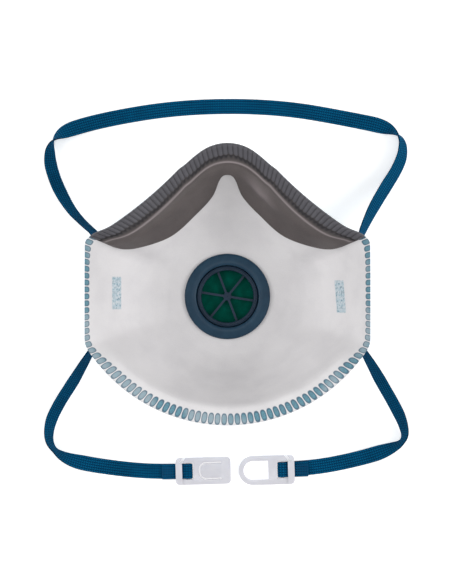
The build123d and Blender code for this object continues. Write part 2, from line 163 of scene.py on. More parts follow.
class Graph:
    """The node tree of one material."""

    def __init__(self, name: str) -> None:
        """Makes a material with an empty tree that ends in a Principled shader."""
        self.material = bpy.data.materials.new(name)
        self.material.use_nodes = True
        self.tree = self.material.node_tree
        self.tree.nodes.clear()
        output = self.tree.nodes.new("ShaderNodeOutputMaterial")
        self.shader = self.tree.nodes.new("ShaderNodeBsdfPrincipled")
        self.tree.links.new(self.shader.outputs[0], output.inputs["Surface"])

    def node(self, kind: str, settings: dict, sockets: dict, output: "int | str" = 0) -> Value:
        """Adds one node.

        Args:
            kind: The node's type.
            settings: Its own settings, set first.
            sockets: Values or links by socket name or number.
            output: Which output to give back.

        Returns:
            The chosen output.
        """
        made = self.tree.nodes.new(kind)
        for name, value in settings.items():
            setattr(made, name, value)
        for name, value in sockets.items():
            if isinstance(value, Value):
                self.tree.links.new(value.socket, made.inputs[name])
            else:
                made.inputs[name].default_value = value
        return Value(self, made.outputs[output])

    def math(self, operation: str, *terms: Term) -> Value:
        """A Math node with the given terms."""
        return self.node("ShaderNodeMath", {"operation": operation}, dict(enumerate(terms)))

    def place(self) -> Value:
        """Object coordinates."""
        return self.node("ShaderNodeTexCoord", {}, {}, "Object")

    def parts(self, vector: Value) -> list[Value]:
        """The three parts of a vector."""
        split = self.node("ShaderNodeSeparateXYZ", {}, {0: vector})
        return [Value(self, split.socket.node.outputs[i]) for i in range(3)]

    def surface(self, name: str) -> list[Value]:
        """The two coordinates of a UV map."""
        return self.parts(self.node("ShaderNodeUVMap", {"uv_map": name}, {}))[:2]

    def attribute(self, name: str) -> Value:
        """A named number that the mesh carries."""
        return self.node("ShaderNodeAttribute", {"attribute_name": name}, {}, "Fac")

    def noise(
        self, scale: float, detail: float = 2.0, rough: float = 0.5, at: "Value | None" = None
    ) -> Value:
        """Fractal noise at a scale per metre."""
        sockets = {"Vector": at or self.place(), "Scale": scale, "Detail": detail, "Roughness": rough}
        return self.node("ShaderNodeTexNoise", {}, sockets)

    def mix(self, share: Term, first: "Value | Colour", second: "Value | Colour") -> Value:
        """A colour between two."""
        settings = {"data_type": "RGBA", "clamp_factor": True}
        return self.node("ShaderNodeMix", settings, {0: share, 6: first, 7: second}, 2)

    def stretched(self, x: float, y: float, z: float) -> Value:
        """Object coordinates, scaled along each axis."""
        return self.node("ShaderNodeMapping", {}, {"Vector": self.place(), "Scale": (x, y, z)})

    def relief(self, height: Value, distance: float, strength: float = 1.0) -> None:
        """Sends a height to the shader's normal.

        Args:
            height: The relief, from 0 to about 1.
            distance: How deep 1 is, in metres.
            strength: The share of it that shows.
        """
        sockets = {"Height": height, "Distance": distance, "Strength": strength}
        self.set("Normal", self.node("ShaderNodeBump", {}, sockets))

    def set(self, name: str, value: "Value | float | Colour") -> None:
        """Sets or links one socket of the shader."""
        if isinstance(value, Value):
            self.tree.links.new(value.socket, self.shader.inputs[name])
        else:
            self.shader.inputs[name].default_value = value


# ----------------------------------------------------------------------------------------------
# Finishes
# ----------------------------------------------------------------------------------------------
@dataclass(frozen=True)
class WeldPattern:
    """The ovals that join the layers along the rim, in the rim UV map's own units."""

    pitch: float = 3.0 * MM
    centre: float = 2.75 * MM
    half_width: float = 1.2 * MM
    half_length: float = 2.4 * MM
    squareness: float = 2.5

    def distance(self, along: np.ndarray, inward: np.ndarray) -> np.ndarray:
        """How far each point is from its oval's middle, 1 at the oval's edge."""
        across = np.abs(np.mod(along, 1.0) - 0.5) * self.pitch / self.half_width
        depth = np.abs(inward - self.centre) / self.half_length
        return (across**self.squareness + depth**self.squareness) ** (1 / self.squareness)

    def shade(self, graph: Graph) -> Value:
        """The same distance, as shader maths on the rim UV map."""
        along, inward = graph.surface("rim")
        across = abs(along.fraction() - 0.5) * (self.pitch / self.half_width)
        depth = abs(inward / UV_PER_METRE - self.centre) / self.half_length
        return (across**self.squareness + depth**self.squareness) ** (1 / self.squareness)


WELD = WeldPattern()


@dataclass(frozen=True)
class StrapMark:
    """A mottled patch of the lining behind the place where a strap is welded to the cup."""

    centre_x: float
    centre_y: float
    lean: float
    half_width: tuple[float, float] = (1.7 * MM, 2.3 * MM)
    half_length: tuple[float, float] = (7.4 * MM, 8.2 * MM)
    row_pitch: float = 2.6 * MM
    pale: Colour = srgb(176, 198, 208)
    dark: Colour = srgb(84, 128, 148)

    def over(self, graph: Graph, colour: Value) -> Value:
        """Lays the patch over a colour, by object coordinates."""
        x, y, _ = graph.parts(graph.place())
        across = abs(x - self.centre_x - (y - self.centre_y) * math.tan(math.radians(self.lean)))
        along = abs(y - self.centre_y)
        patch = across.step(*self.half_width[::-1]) * along.step(*self.half_length[::-1])
        speck = graph.noise(900.0, 2.0, 0.6)
        rows = abs((y / self.row_pitch).fraction() - 0.5).step(0.2, 0.42)
        tint = graph.mix(speck.step(0.52, 0.66), self.pale, self.dark)
        return graph.mix(patch * (speck.step(0.34, 0.5) * 0.45 + rows * 0.2 + 0.3), colour, tint)


@dataclass(frozen=True)
class Nonwoven:
    """Bonded fibre web, with the blue cover showing through its welds."""

    name: str
    base: Colour
    shade: Colour
    weld: Colour
    weld_edge: Colour
    weld_reach: float
    marks: tuple[StrapMark, ...] = ()

    def material(self) -> bpy.types.Material:
        """Builds the material."""
        graph = Graph(self.name)
        cloud = graph.noise(55.0, 3.0, 0.55)
        fibre = graph.noise(2600.0, 3.0, 0.7)
        mottle = graph.noise(1500.0, 2.0, 0.6)
        colour = graph.mix(cloud.step(0.35, 0.75) * 0.55 + fibre.step(0.35, 0.7) * 0.3, self.base, self.shade)
        oval = WELD.shade(graph)
        inside = oval.step(1.05, 0.82)
        edge = oval.step(1.18, 0.98) * oval.step(0.62, 0.95)
        weld = graph.mix(edge * 0.85 + mottle.step(0.42, 0.62) * 0.55, self.weld, self.weld_edge)
        fade = graph.noise(42.0, 1.0, 0.5).step(0.36, 0.52) * 0.3 + mottle.step(0.64, 0.46) * 0.16 + 0.58
        share = (inside * fade).larger(edge * 0.9) * self.weld_reach
        colour = graph.mix(share, colour, weld)
        for mark in self.marks:
            colour = mark.over(graph, colour)
        graph.set("Base Color", colour)
        graph.set("Roughness", 0.82)
        graph.set("Specular IOR Level", 0.3)
        graph.relief(fibre * 0.5 + graph.noise(700.0, 3.0, 0.6) * 0.5, 0.12 * MM, 0.55)
        return graph.material


@dataclass(frozen=True)
class Foam:
    """Skinned foam: smooth wings, with painted shade in its grooves, between its ribs and between band and
    ridge, and a painted highlight along its ridge.
    """

    name: str
    skin: Colour
    band: Colour
    groove: Colour
    crest: Colour

    def material(self) -> bpy.types.Material:
        """Builds the material, which reads three numbers that the piece carries: the weld band's share,
        painted shade for the groove and the gaps between ribs, and a painted highlight along the ridge and
        swell that stands for painted shade between band and ridge where it is below zero.
        """
        graph = Graph(self.name)
        band, painted_shade, painted_highlight_and_shade = graph.attribute("band"), graph.attribute("painted_shade"), graph.attribute("painted_highlight_and_shade")
        cloud = graph.noise(90.0, 3.0, 0.5)
        grain = graph.noise(2400.0, 2.0, 0.6)
        colour = graph.mix(band, self.skin, self.band)
        colour = graph.mix(cloud.step(0.3, 0.75) * 0.18 + grain.step(0.4, 0.7) * 0.12, colour, self.groove)
        # Painted shade: the groove colour in the groove, between the ribs and, where the highlight share is
        # below zero, between band and ridge.
        colour = graph.mix(painted_shade * 0.85 - painted_highlight_and_shade, colour, self.groove)
        # Painted highlight: the crest colour along the ridge's crest and over the swell.
        colour = graph.mix(painted_highlight_and_shade, colour, self.crest)
        graph.set("Base Color", colour)
        graph.set("Roughness", 0.5 + grain * 0.16)
        graph.set("Specular IOR Level", 0.4)
        graph.relief(grain * 0.6 + graph.noise(800.0) * 0.4, 0.06 * MM, 0.5)
        return graph.material


class Texture(Enum):
    """How a moulded surface was finished in its tool."""

    SATIN = 1600.0
    SPARK = 3200.0


@dataclass(frozen=True)
class Moulded:
    """Opaque moulded plastic with a fine tool texture and paler patches at random."""

    name: str
    base: Colour
    lift: Colour
    roughness: float
    texture: Texture
    subsurface: float = 0.0
    coat: float = 0.0
    specular: float = 0.5

    def material(self) -> bpy.types.Material:
        """Builds the material."""
        graph = Graph(self.name)
        cloud = graph.noise(160.0, 2.0, 0.5)
        grain = graph.noise(self.texture.value, 2.0, 0.6)
        colour = graph.mix(cloud.step(0.3, 0.8) * 0.5 + grain.step(0.45, 0.75) * 0.2, self.base, self.lift)
        graph.set("Base Color", colour)
        graph.set("Roughness", grain * 0.14 + self.roughness)
        graph.set("Subsurface Weight", self.subsurface)
        graph.set("Subsurface Radius", (0.8, 0.8, 0.9))
        graph.set("Subsurface Scale", 2.0 * MM)
        graph.set("Coat Weight", self.coat)
        graph.set("Specular IOR Level", self.specular)
        graph.relief(grain, 0.03 * MM, 0.4)
        return graph.material


@dataclass(frozen=True)
class Rubber:
    """Thin soft disc with faint mottling and a fine grain."""

    name: str
    base: Colour
    shade: Colour

    def material(self) -> bpy.types.Material:
        """Builds the material."""
        graph = Graph(self.name)
        grain = graph.noise(1300.0, 2.0, 0.5)
        graph.set("Base Color", graph.mix(graph.noise(220.0).step(0.3, 0.7), self.base, self.shade))
        graph.set("Roughness", grain * 0.2 + 0.45)
        graph.set("Specular IOR Level", 0.02)
        graph.relief(grain, 0.02 * MM, 0.3)
        return graph.material


@dataclass(frozen=True)
class Metal:
    """Soft annealed strip with a drawn grain."""

    name: str
    base: Colour

    def material(self) -> bpy.types.Material:
        """Builds the material."""
        graph = Graph(self.name)
        drawn = graph.noise(1.0, 3.0, 0.6, graph.stretched(90.0, 2600.0, 2600.0))
        graph.set("Base Color", graph.mix(drawn, self.base, srgb(150, 152, 156)))
        graph.set("Metallic", 1.0)
        graph.set("Roughness", drawn * 0.25 + 0.32)
        graph.relief(drawn, 0.02 * MM, 0.4)
        return graph.material


@dataclass(frozen=True)
class Knit:
    """Knitted elastic: lengthwise ribs of small chevron stitches, with a painted highlight on the raised
    stitches and painted shade in the valleys between ribs.
    """

    name: str
    valley_shade_and_mottle: Colour
    base: Colour
    lift: Colour
    ribs: int = 6
    stitch: float = 1.15 * MM
    slope: float = 1.5

    def material(self) -> bpy.types.Material:
        """Builds the material on the strap's UV map: u across, v along with UV_PER_METRE to a metre."""
        graph = Graph(self.name)
        across, along = graph.surface("strap")
        rib = (across * self.ribs).fraction() - 0.5
        slant = along / (UV_PER_METRE * self.stitch) + abs(rib) * self.slope
        loops = (slant * (2 * math.pi)).sine() * 0.5 + 0.5
        valley = abs(rib).step(0.3, 0.5)
        yarn = graph.noise(2200.0, 2.0, 0.6)
        patchy = graph.noise(60.0, 2.0, 0.5)
        # Painted highlight: the lift colour on the raised stitches of each rib, with random yarn specks.
        painted_stitch_highlight = loops.step(0.2, 0.9) * (1 - valley) * 0.75
        colour = graph.mix(painted_stitch_highlight + yarn.step(0.5, 0.75) * 0.25, self.base, self.lift)
        # Painted shade: the darkest colour in the valleys between ribs, with random darker patches.
        colour = graph.mix(valley * 0.75 + patchy.step(0.4, 0.7) * 0.2, colour, self.valley_shade_and_mottle)
        graph.set("Base Color", colour)
        graph.set("Roughness", 0.7)
        graph.set("Specular IOR Level", 0.04)
        graph.relief(loops * 0.6 * (1 - valley) + yarn * 0.3, 0.2 * MM, 0.9)
        return graph.material


@dataclass(frozen=True)
class Floor:
    """Pale seamless paper, lit a little from below."""

    name: str
    base: Colour
    glow: float = 0.42

    def material(self) -> bpy.types.Material:
        """Builds the material."""
        graph = Graph(self.name)
        graph.set("Base Color", self.base)
        graph.set("Roughness", 0.9)
        graph.set("Emission Color", self.base)
        graph.set("Emission Strength", self.glow)
        return graph.material


LINING = Nonwoven(
    "lining_web", srgb(228, 226, 227), srgb(213, 211, 213), srgb(104, 150, 166), srgb(24, 82, 106), 1.0,
    (StrapMark(-53.6 * MM, -4.3 * MM, 0.0), StrapMark(54.5 * MM, -6.0 * MM, -4.0)),
)
COVER = Nonwoven(
    "cover_web", srgb(128, 160, 176), srgb(110, 144, 162), srgb(74, 118, 140), srgb(40, 86, 108), 0.9
)
FILTER = Nonwoven(
    "filter_web", srgb(240, 240, 238), srgb(228, 228, 226), srgb(240, 240, 238), srgb(228, 228, 226), 0.0
)
# Seal foam colours: the groove colour is painted shade in the groove, between the ribs and over the rim's
# outer side, and also a random darker tone; the crest colour is a painted highlight along the ridge and
# swell.
SEAL = Foam("seal_foam", srgb(90, 83, 82), srgb(86, 85, 91), srgb(34, 32, 36), srgb(150, 140, 142))
FLANGE = Moulded("flange_plastic", srgb(18, 52, 74), srgb(34, 70, 92), 0.36, Texture.SATIN, specular=0.32)
BODY = Moulded("valve_plastic", srgb(22, 42, 62), srgb(34, 58, 78), 0.42, Texture.SPARK, specular=0.28)
CLIP = Moulded("clip_plastic", srgb(208, 206, 212), srgb(220, 218, 223), 0.28, Texture.SATIN, 0.3, 0.2)
DISC = Rubber("disc_rubber", srgb(0, 84, 70), srgb(0, 72, 60))
STRIP = Metal("nose_strip", srgb(196, 198, 202))
# Elastic colours: the first is painted shade for the rib valleys and random dark patches, the last a painted
# highlight for the raised stitches and yarn specks.
ELASTIC = Knit("elastic_knit", srgb(0, 14, 36), srgb(0, 52, 86), srgb(0, 106, 150))
THREAD = Moulded("stitch_thread", srgb(4, 62, 100), srgb(12, 86, 128), 0.6, Texture.SPARK, specular=0.2)
PAPER = Floor("paper", srgb(250, 250, 250))


# ----------------------------------------------------------------------------------------------
# Mesh helpers
# ----------------------------------------------------------------------------------------------
Point = tuple[float, float, float]
Profile = Sequence[tuple[float, float]]


def ease(share: np.ndarray) -> np.ndarray:
    """0 to 1 with level ends."""
    share = np.clip(share, 0.0, 1.0)
    return share * share * (3 - 2 * share)


def smooth_min(a: np.ndarray, b: np.ndarray, blend: float) -> np.ndarray:
    """The smaller of two, with a rounded change-over of the given size."""
    share = np.clip(0.5 + 0.5 * (b - a) / blend, 0.0, 1.0)
    return b * (1 - share) + a * share - blend * share * (1 - share)


def bump(distance: np.ndarray, width: "float | np.ndarray") -> np.ndarray:
    """1 at no distance, falling off on both sides as a bell of the given width."""
    return np.exp(-((distance / width) ** 2))


def quarter_round(share: np.ndarray) -> np.ndarray:
    """0 to 1 as a quarter circle rises: steep at 0, level at 1."""
    return np.sqrt(1 - (1 - share) ** 2)


def lengths_along(points: np.ndarray) -> np.ndarray:
    """Length travelled from the first point of a line to each of its points."""
    return np.concatenate([[0], np.cumsum(np.linalg.norm(np.diff(points, axis=0), axis=1))])


def new_object(name: str, data: bpy.types.ID) -> bpy.types.Object:
    """Links a new object to the scene."""
    made = bpy.data.objects.new(name, data)
    bpy.context.scene.collection.objects.link(made)
    return made


def mesh_object(
    name: str, points: np.ndarray, faces: Sequence[Sequence[int]], smooth: bool = True
) -> bpy.types.Object:
    """A mesh object from points and faces, with its normals turned outwards."""
    mesh = bpy.data.meshes.new(name)
    mesh.from_pydata([tuple(p) for p in points], [], [tuple(f) for f in faces])
    tidy = bmesh.new()
    tidy.from_mesh(mesh)
    bmesh.ops.recalc_face_normals(tidy, faces=tidy.faces)
    tidy.to_mesh(mesh)
    tidy.free()
    mesh.polygons.foreach_set("use_smooth", [smooth] * len(mesh.polygons))
    return new_object(name, mesh)


def grid_faces(columns: int, rows: int, start: int, closed: bool, flip: bool) -> list[tuple[int, ...]]:
    """Quads of a grid whose points run row by row.

    Args:
        columns: Points in a row.
        rows: Rows.
        start: Number of the grid's first point.
        closed: Whether each row closes on itself.
        flip: Whether the faces turn the other way.

    Returns:
        The quads.
    """
    faces = []
    for row in range(rows - 1):
        for column in range(columns if closed else columns - 1):
            after = (column + 1) % columns
            here, above = start + row * columns, start + (row + 1) * columns
            quad = (here + column, here + after, above + after, above + column)
            faces.append(quad[::-1] if flip else quad)
    return faces


def shell(name: str, top: np.ndarray, bottom: np.ndarray, closed: bool) -> bpy.types.Object:
    """A closed skin between two grids of the same shape (rows, columns, 3)."""
    rows, columns, _ = top.shape
    size = rows * columns
    faces = grid_faces(columns, rows, 0, closed, False) + grid_faces(columns, rows, size, closed, True)
    last = (rows - 1) * columns
    for column in range(columns if closed else columns - 1):
        after = (column + 1) % columns
        faces.append((column, size + column, size + after, after))
        faces.append((last + after, size + last + after, size + last + column, last + column))
    if not closed:
        for row in range(rows - 1):
            here, above = row * columns, (row + 1) * columns
            faces.append((above, size + above, size + here, here))
            end, end_above = here + columns - 1, above + columns - 1
            faces.append((end, size + end, size + end_above, end_above))
    points = np.concatenate([top.reshape(-1, 3), bottom.reshape(-1, 3)])
    return mesh_object(name, points, faces)


def lathe(name: str, profile: Profile, centre_y: float, steps: int = 192) -> bpy.types.Object:
    """A closed ring turned about the valve's axis from a closed (radius, height) profile."""
    angles = np.linspace(0, 2 * math.pi, steps, endpoint=False)
    points = np.concatenate([
        np.stack([r * np.cos(angles), centre_y + r * np.sin(angles), np.full(steps, z)], axis=1)
        for r, z in profile
    ])
    count = len(profile)
    faces = []
    for row in range(count):
        below = (row + 1) % count
        for i in range(steps):
            j = (i + 1) % steps
            faces.append((row * steps + i, row * steps + j, below * steps + j, below * steps + i))
    return mesh_object(name, points, faces)


def rounded(profile: Profile, radius: float, steps: int = 4) -> list[tuple[float, float]]:
    """A closed profile with every corner rounded, as far as its sides allow."""
    most = 0.45
    result = []
    count = len(profile)
    for i, corner in enumerate(profile):
        here = Vector(corner)
        before, after = Vector(profile[i - 1]), Vector(profile[(i + 1) % count])
        reach = min(radius, (before - here).length * most, (after - here).length * most)
        start = here + (before - here).normalized() * reach
        end = here + (after - here).normalized() * reach
        for k in range(steps + 1):
            t = k / steps
            result.append(tuple(start * (1 - t) ** 2 + here * 2 * t * (1 - t) + end * t**2))
    return result


def with_number(piece: bpy.types.Object, name: str, values: np.ndarray) -> None:
    """Gives a mesh one number for each of its points."""
    layer = piece.data.attributes.new(name, "FLOAT", "POINT")
    layer.data.foreach_set("value", np.asarray(values, np.float32).ravel())


def with_uv(piece: bpy.types.Object, name: str, u: np.ndarray, v: np.ndarray, wrap: float = 0.0) -> None:
    """Gives a mesh a UV map from two numbers for each point.

    Args:
        piece: The mesh object.
        name: The map's name.
        u: First number of each point.
        v: Second number of each point.
        wrap: Where u starts again at 0, or 0 if it never does.
    """
    mesh = piece.data
    corners = np.zeros(len(mesh.loops), np.int32)
    mesh.loops.foreach_get("vertex_index", corners)
    pairs = np.stack([np.ravel(u)[corners], np.ravel(v)[corners]], axis=1)
    if wrap:
        for polygon in mesh.polygons:
            own = slice(polygon.loop_start, polygon.loop_start + polygon.loop_total)
            if np.ptp(pairs[own, 0]) > wrap / 2:
                pairs[own, 0] = np.where(pairs[own, 0] < wrap / 2, pairs[own, 0] + wrap, pairs[own, 0])
    layer = mesh.uv_layers.new(name=name)
    layer.data.foreach_set("uv", pairs.astype(np.float32).ravel())


def dress(piece: bpy.types.Object, material: bpy.types.Material) -> None:
    """Gives a piece one material."""
    piece.data.materials.clear()
    piece.data.materials.append(material)


def finish_piece(
    piece: bpy.types.Object, body: str, nodes: Sequence[str], look: bpy.types.Material,
    bend: "tuple[Point, Point] | None" = None,
) -> None:
    """Dresses a piece, sets it on its body or bakes its transform, and hides the CAD nodes that it replaces.

    Args:
        piece: The piece.
        body: The body that it moves with, when no bend places are given.
        nodes: The CAD nodes that it replaces.
        look: Its material.
        bend: Two places where it would bend from the cup to its body; given any, the piece is baked where it
            stands instead of set on its body, and the places themselves are not used. Nothing for a rigid
            piece.
    """
    dress(piece, look)
    if bend:
        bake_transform(piece)
    else:
        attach(piece, body)
    if nodes:
        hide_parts(*nodes)
    log.info("%s: %d faces on %s", piece.name, len(piece.data.polygons), body)


def softened_copy(
    node: str, name: str, width: float, angle: float = 35.0, segments: int = 3
) -> bpy.types.Object:
    """A copy of a CAD node's mesh with its flats merged and its edges rounded.

    Args:
        node: The CAD node.
        name: The new piece's name.
        width: Width of the rounding, in metres.
        angle: Edges that turn more than this are rounded, in degrees.
        segments: Steps of the rounding.

    Returns:
        The new piece, a plain mesh.
    """
    same_place = 0.002 * MM
    flat, crease = math.radians(0.8), math.radians(40.0)
    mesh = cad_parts[node].data.copy()
    mesh.materials.clear()
    tidy = bmesh.new()
    tidy.from_mesh(mesh)
    bmesh.ops.remove_doubles(tidy, verts=tidy.verts, dist=same_place)
    bmesh.ops.dissolve_limit(tidy, angle_limit=flat, verts=tidy.verts, edges=tidy.edges)
    folds = [edge for edge in tidy.edges if len(edge.link_faces) == 2]
    sharp = [painted_highlight_and_shade for painted_highlight_and_shade in folds if painted_highlight_and_shade.calc_face_angle(0.0) > math.radians(angle)]
    bmesh.ops.bevel(
        tidy, geom=sharp, offset=width, segments=segments, profile=0.5, affect="EDGES", clamp_overlap=True
    )
    tidy.to_mesh(mesh)
    tidy.free()
    mesh.polygons.foreach_set("use_smooth", [True] * len(mesh.polygons))
    piece = new_object(name, mesh)
    mesh.set_sharp_from_angle(angle=crease)
    return piece


# ----------------------------------------------------------------------------------------------
# Geometry Nodes
# ----------------------------------------------------------------------------------------------
class Repeater:
    """A Geometry Nodes tree that sets small shapes round a ring and bakes them to a plain mesh."""

    def __init__(self, name: str) -> None:
        """Starts a tree with a geometry input and output."""
        self.tree = bpy.data.node_groups.new(name, "GeometryNodeTree")
        self.tree.interface.new_socket("Geometry", in_out="OUTPUT", socket_type="NodeSocketGeometry")
        self.entry = self.tree.nodes.new("NodeGroupInput")
        self.exit = self.tree.nodes.new("NodeGroupOutput")
        self.values: dict[str, object] = {}

    def size(self, name: str, kind: str, value: object) -> bpy.types.NodeSocket:
        """A named input of the tree, with its value."""
        item = self.tree.interface.new_socket(name, in_out="INPUT", socket_type=kind)
        self.values[item.identifier] = value
        return self.entry.outputs[name]

    def add(self, kind: str, settings: dict, sockets: dict) -> bpy.types.Node:
        """Adds one node, its settings first and then its sockets."""
        made = self.tree.nodes.new(kind)
        for name, value in settings.items():
            setattr(made, name, value)
        for name, value in sockets.items():
            if isinstance(value, bpy.types.NodeSocket):
                self.tree.links.new(value, made.inputs[name])
            else:
                made.inputs[name].default_value = value
        return made

    def bake(self, name: str, instances: bpy.types.NodeSocket, look: bpy.types.Material) -> bpy.types.Object:
        """Realizes the instances, sets their material and gives back a plain mesh object."""
        real = self.add("GeometryNodeRealizeInstances", {}, {0: instances})
        dressed = self.add("GeometryNodeSetMaterial", {}, {0: real.outputs[0], "Material": look})
        self.tree.links.new(dressed.outputs[0], self.exit.inputs[0])
        holder = new_object(name, bpy.data.meshes.new(name))
        modifier = holder.modifiers.new("repeat", "NODES")
        modifier.node_group = self.tree
        for identifier, value in self.values.items():
            modifier[identifier] = value
        view = bpy.context.evaluated_depsgraph_get()
        holder.update_tag()
        bpy.context.view_layer.update()
        baked = bpy.data.meshes.new_from_object(holder.evaluated_get(view))
        holder.modifiers.clear()
        holder.data = baked
        return holder


def ring_of_bars(
    name: str, count: int, radius: float, size: Point, at: Point, look: bpy.types.Material,
    first_angle: float = 0.0, cuts: int = 2,
) -> bpy.types.Object:
    """Small radial bars round a circle.

    Args:
        name: The piece's name.
        count: How many bars.
        radius: Circle through their middles.
        size: Of one bar: along the radius, across, and upwards.
        at: The circle's centre.
        look: The bars' material.
        first_angle: Where the first bar stands, in degrees from +X.
        cuts: Points along each bar.

    Returns:
        The baked bars.
    """
    tree = Repeater(name)
    bars = tree.size("Bars", "NodeSocketInt", count)
    reach = tree.size("Ring radius", "NodeSocketFloat", radius)
    centre = tree.size("Centre", "NodeSocketVector", at)
    first = tree.size("First angle", "NodeSocketVector", (0.0, 0.0, math.radians(first_angle)))
    box = tree.size("Bar size", "NodeSocketVector", size)
    circle = tree.add("GeometryNodeMeshCircle", {}, {"Vertices": bars, "Radius": reach})
    bar = tree.add("GeometryNodeMeshCube", {}, {"Size": box, "Vertices X": cuts})
    place = tree.add("GeometryNodeInputPosition", {}, {})
    turn = tree.add("FunctionNodeAlignRotationToVector", {"axis": "X"}, {"Vector": place.outputs[0]})
    set_out = tree.add(
        "GeometryNodeInstanceOnPoints", {},
        {"Points": circle.outputs[0], "Instance": bar.outputs[0], "Rotation": turn.outputs[0]},
    )
    moved = tree.add(
        "GeometryNodeTransform", {},
        {"Geometry": set_out.outputs[0], "Translation": centre, "Rotation": first},
    )
    return tree.bake(name, moved.outputs[0], look)


# ----------------------------------------------------------------------------------------------
# The cup's form
# ----------------------------------------------------------------------------------------------
@dataclass
class CupForm:
    """The moulded cup as a surface about the valve's axis, the same as the CAD cup."""

    half_width: float = 67.4 * MM
    chin_reach: float = 67.2 * MM
    chin_radius: float = 78.4 * MM
    nose_reach: float = 67.2 * MM
    nose_tip_radius: float = 21.8 * MM
    flank_start: tuple[float, float] = (19.0 * MM, 59.2 * MM)
    flank_end: tuple[float, float] = (61.5 * MM, 23.1 * MM)
    flank_sag: float = 2.0 * MM
    shoulder_angle: float = 24.5
    shoulder_spread: float = 4.0
    shoulder_bump: float = 1.8 * MM
    tip_blend_angle: float = 5.3
    corner_blend: float = 1.6 * MM
    side_height: float = 59.0 * MM
    chin_height: float = 53.0 * MM
    nose_height: float = 44.0 * MM
    dome_power: float = 2.5
    side_dome_power: float = 3.3
    band: float = 7.0 * MM
    flare_start: float = 0.2
    flare_run: float = 0.4
    chin_slope: float = math.tan(math.radians(30.0))
    nose_slope: float = math.tan(math.radians(38.0))
    slope_blend: float = 1.6 * MM
    valve_y: float = -6.0 * MM
    land_radius: float = 22.0 * MM
    land_height: float = 11.0 * MM
    port_edge: float = 14.0 * MM
    weld_squeeze: float = 0.45

    def rim(self, angle: np.ndarray) -> np.ndarray:
        """Distance of the rim from the valve axis, at angles in degrees."""
        ux, uy = np.abs(np.cos(np.radians(angle))), np.sin(np.radians(angle))
        chin_y = self.chin_radius - self.chin_reach - self.valve_y
        chin = chin_y * uy + np.sqrt(self.chin_radius**2 - (chin_y * ux) ** 2)
        least = 1e-3
        reach = smooth_min(chin, self.half_width / np.maximum(ux, least), self.corner_blend)
        (x0, y0), (x1, y1) = self.flank_start, self.flank_end
        chord = math.hypot(x1 - x0, y1 - y0)
        radius = chord**2 / (8 * self.flank_sag) + self.flank_sag / 2
        out = radius - self.flank_sag
        cx = (x0 + x1) / 2 + (y0 - y1) / chord * out
        cy = (y0 + y1) / 2 + (x1 - x0) / chord * out - self.valve_y
        along = cx * ux + cy * uy
        flank = along - np.sqrt(np.maximum(along**2 - cx**2 - cy**2 + radius**2, 0.0))
        tip_y = self.nose_reach - self.nose_tip_radius - self.valve_y
        tip = tip_y * uy + np.sqrt(np.maximum(0.0, self.nose_tip_radius**2 - (tip_y * ux) ** 2))
        mirrored = np.where(angle > 90, 180 - angle, angle)
        flank = flank + self.shoulder_bump * bump(mirrored - self.shoulder_angle, self.shoulder_spread)
        joint = math.degrees(math.atan2(y0 - self.valve_y, x0))
        top = flank + (tip - flank) * ease((mirrored - joint) / (2 * self.tip_blend_angle) + 0.5)
        return np.where(uy > 0, smooth_min(reach, top, self.corner_blend), reach)

    def rim_height(self, angle: np.ndarray) -> np.ndarray:
        """Height of the outside of the rim."""
        rise = np.sin(np.radians(angle))
        low = np.where(rise > 0, self.nose_height, self.chin_height)
        return self.side_height - (self.side_height - low) * rise**2

    def height(self, angle: np.ndarray, radius: np.ndarray) -> np.ndarray:
        """Height of the cup's outside."""
        rim, top = self.rim(angle), self.rim_height(angle)
        flare = ease((np.abs(np.sin(np.radians(angle))) - self.flare_start) / self.flare_run)
        slope = np.where(np.sin(np.radians(angle)) > 0, self.nose_slope, self.chin_slope)
        power = self.side_dome_power + (self.dome_power - self.side_dome_power) * flare
        run = np.maximum(0.0, radius - self.land_radius)
        depth = top - self.land_height
        plain = self.land_height + depth * (run / (rim - self.land_radius)) ** power
        dome = self.land_height + depth * (run / (rim - self.band * 0.8 - self.land_radius)) ** power
        edge = smooth_min(dome, top - (rim - radius) * slope, self.slope_blend)
        flared = dome + (edge - dome) * ease((radius - rim + self.band * 2.4) / self.band)
        return plain + (flared - plain) * flare

    def point(self, angle: np.ndarray, radius: np.ndarray, depth: np.ndarray) -> np.ndarray:
        """Points at a depth inside the outer surface.

        Args:
            angle: Degrees about the valve's axis, 90 at the nose.
            radius: Distance from the axis before the depth is taken off.
            depth: How far inside the outer surface.

        Returns:
            The points, in metres.
        """
        step = 0.02 * MM
        slope = (self.height(angle, radius + step) - self.height(angle, radius - step)) / (2 * step)
        slope = np.where(radius <= self.land_radius, 0.0, slope)
        length = np.hypot(1.0, slope)
        near_rim = ease(1 - (self.rim(angle) - radius) / (self.band * 1.4))
        depth = depth * (1 - self.weld_squeeze * near_rim)
        reach = radius - depth * slope / length
        z = self.height(angle, radius) + depth / length
        a = np.radians(angle)
        return np.stack([reach * np.cos(a), self.valve_y + reach * np.sin(a), z], axis=-1)

    def stations(self, count: int) -> np.ndarray:
        """Angles that are evenly spaced along the rim, starting at the chin."""
        dense = np.linspace(-90.0, 270.0, 7201)
        points = self.point(self.folded(dense), self.rim(self.folded(dense)), np.zeros_like(dense))
        travelled = lengths_along(points)
        wanted = np.linspace(0, travelled[-1], count, endpoint=False)
        return np.interp(wanted, travelled, dense)

    @staticmethod
    def folded(angle: np.ndarray) -> np.ndarray:
        """Angles brought into -90 to 270, which the formulas expect."""
        return np.mod(angle + 90.0, 360.0) - 90.0

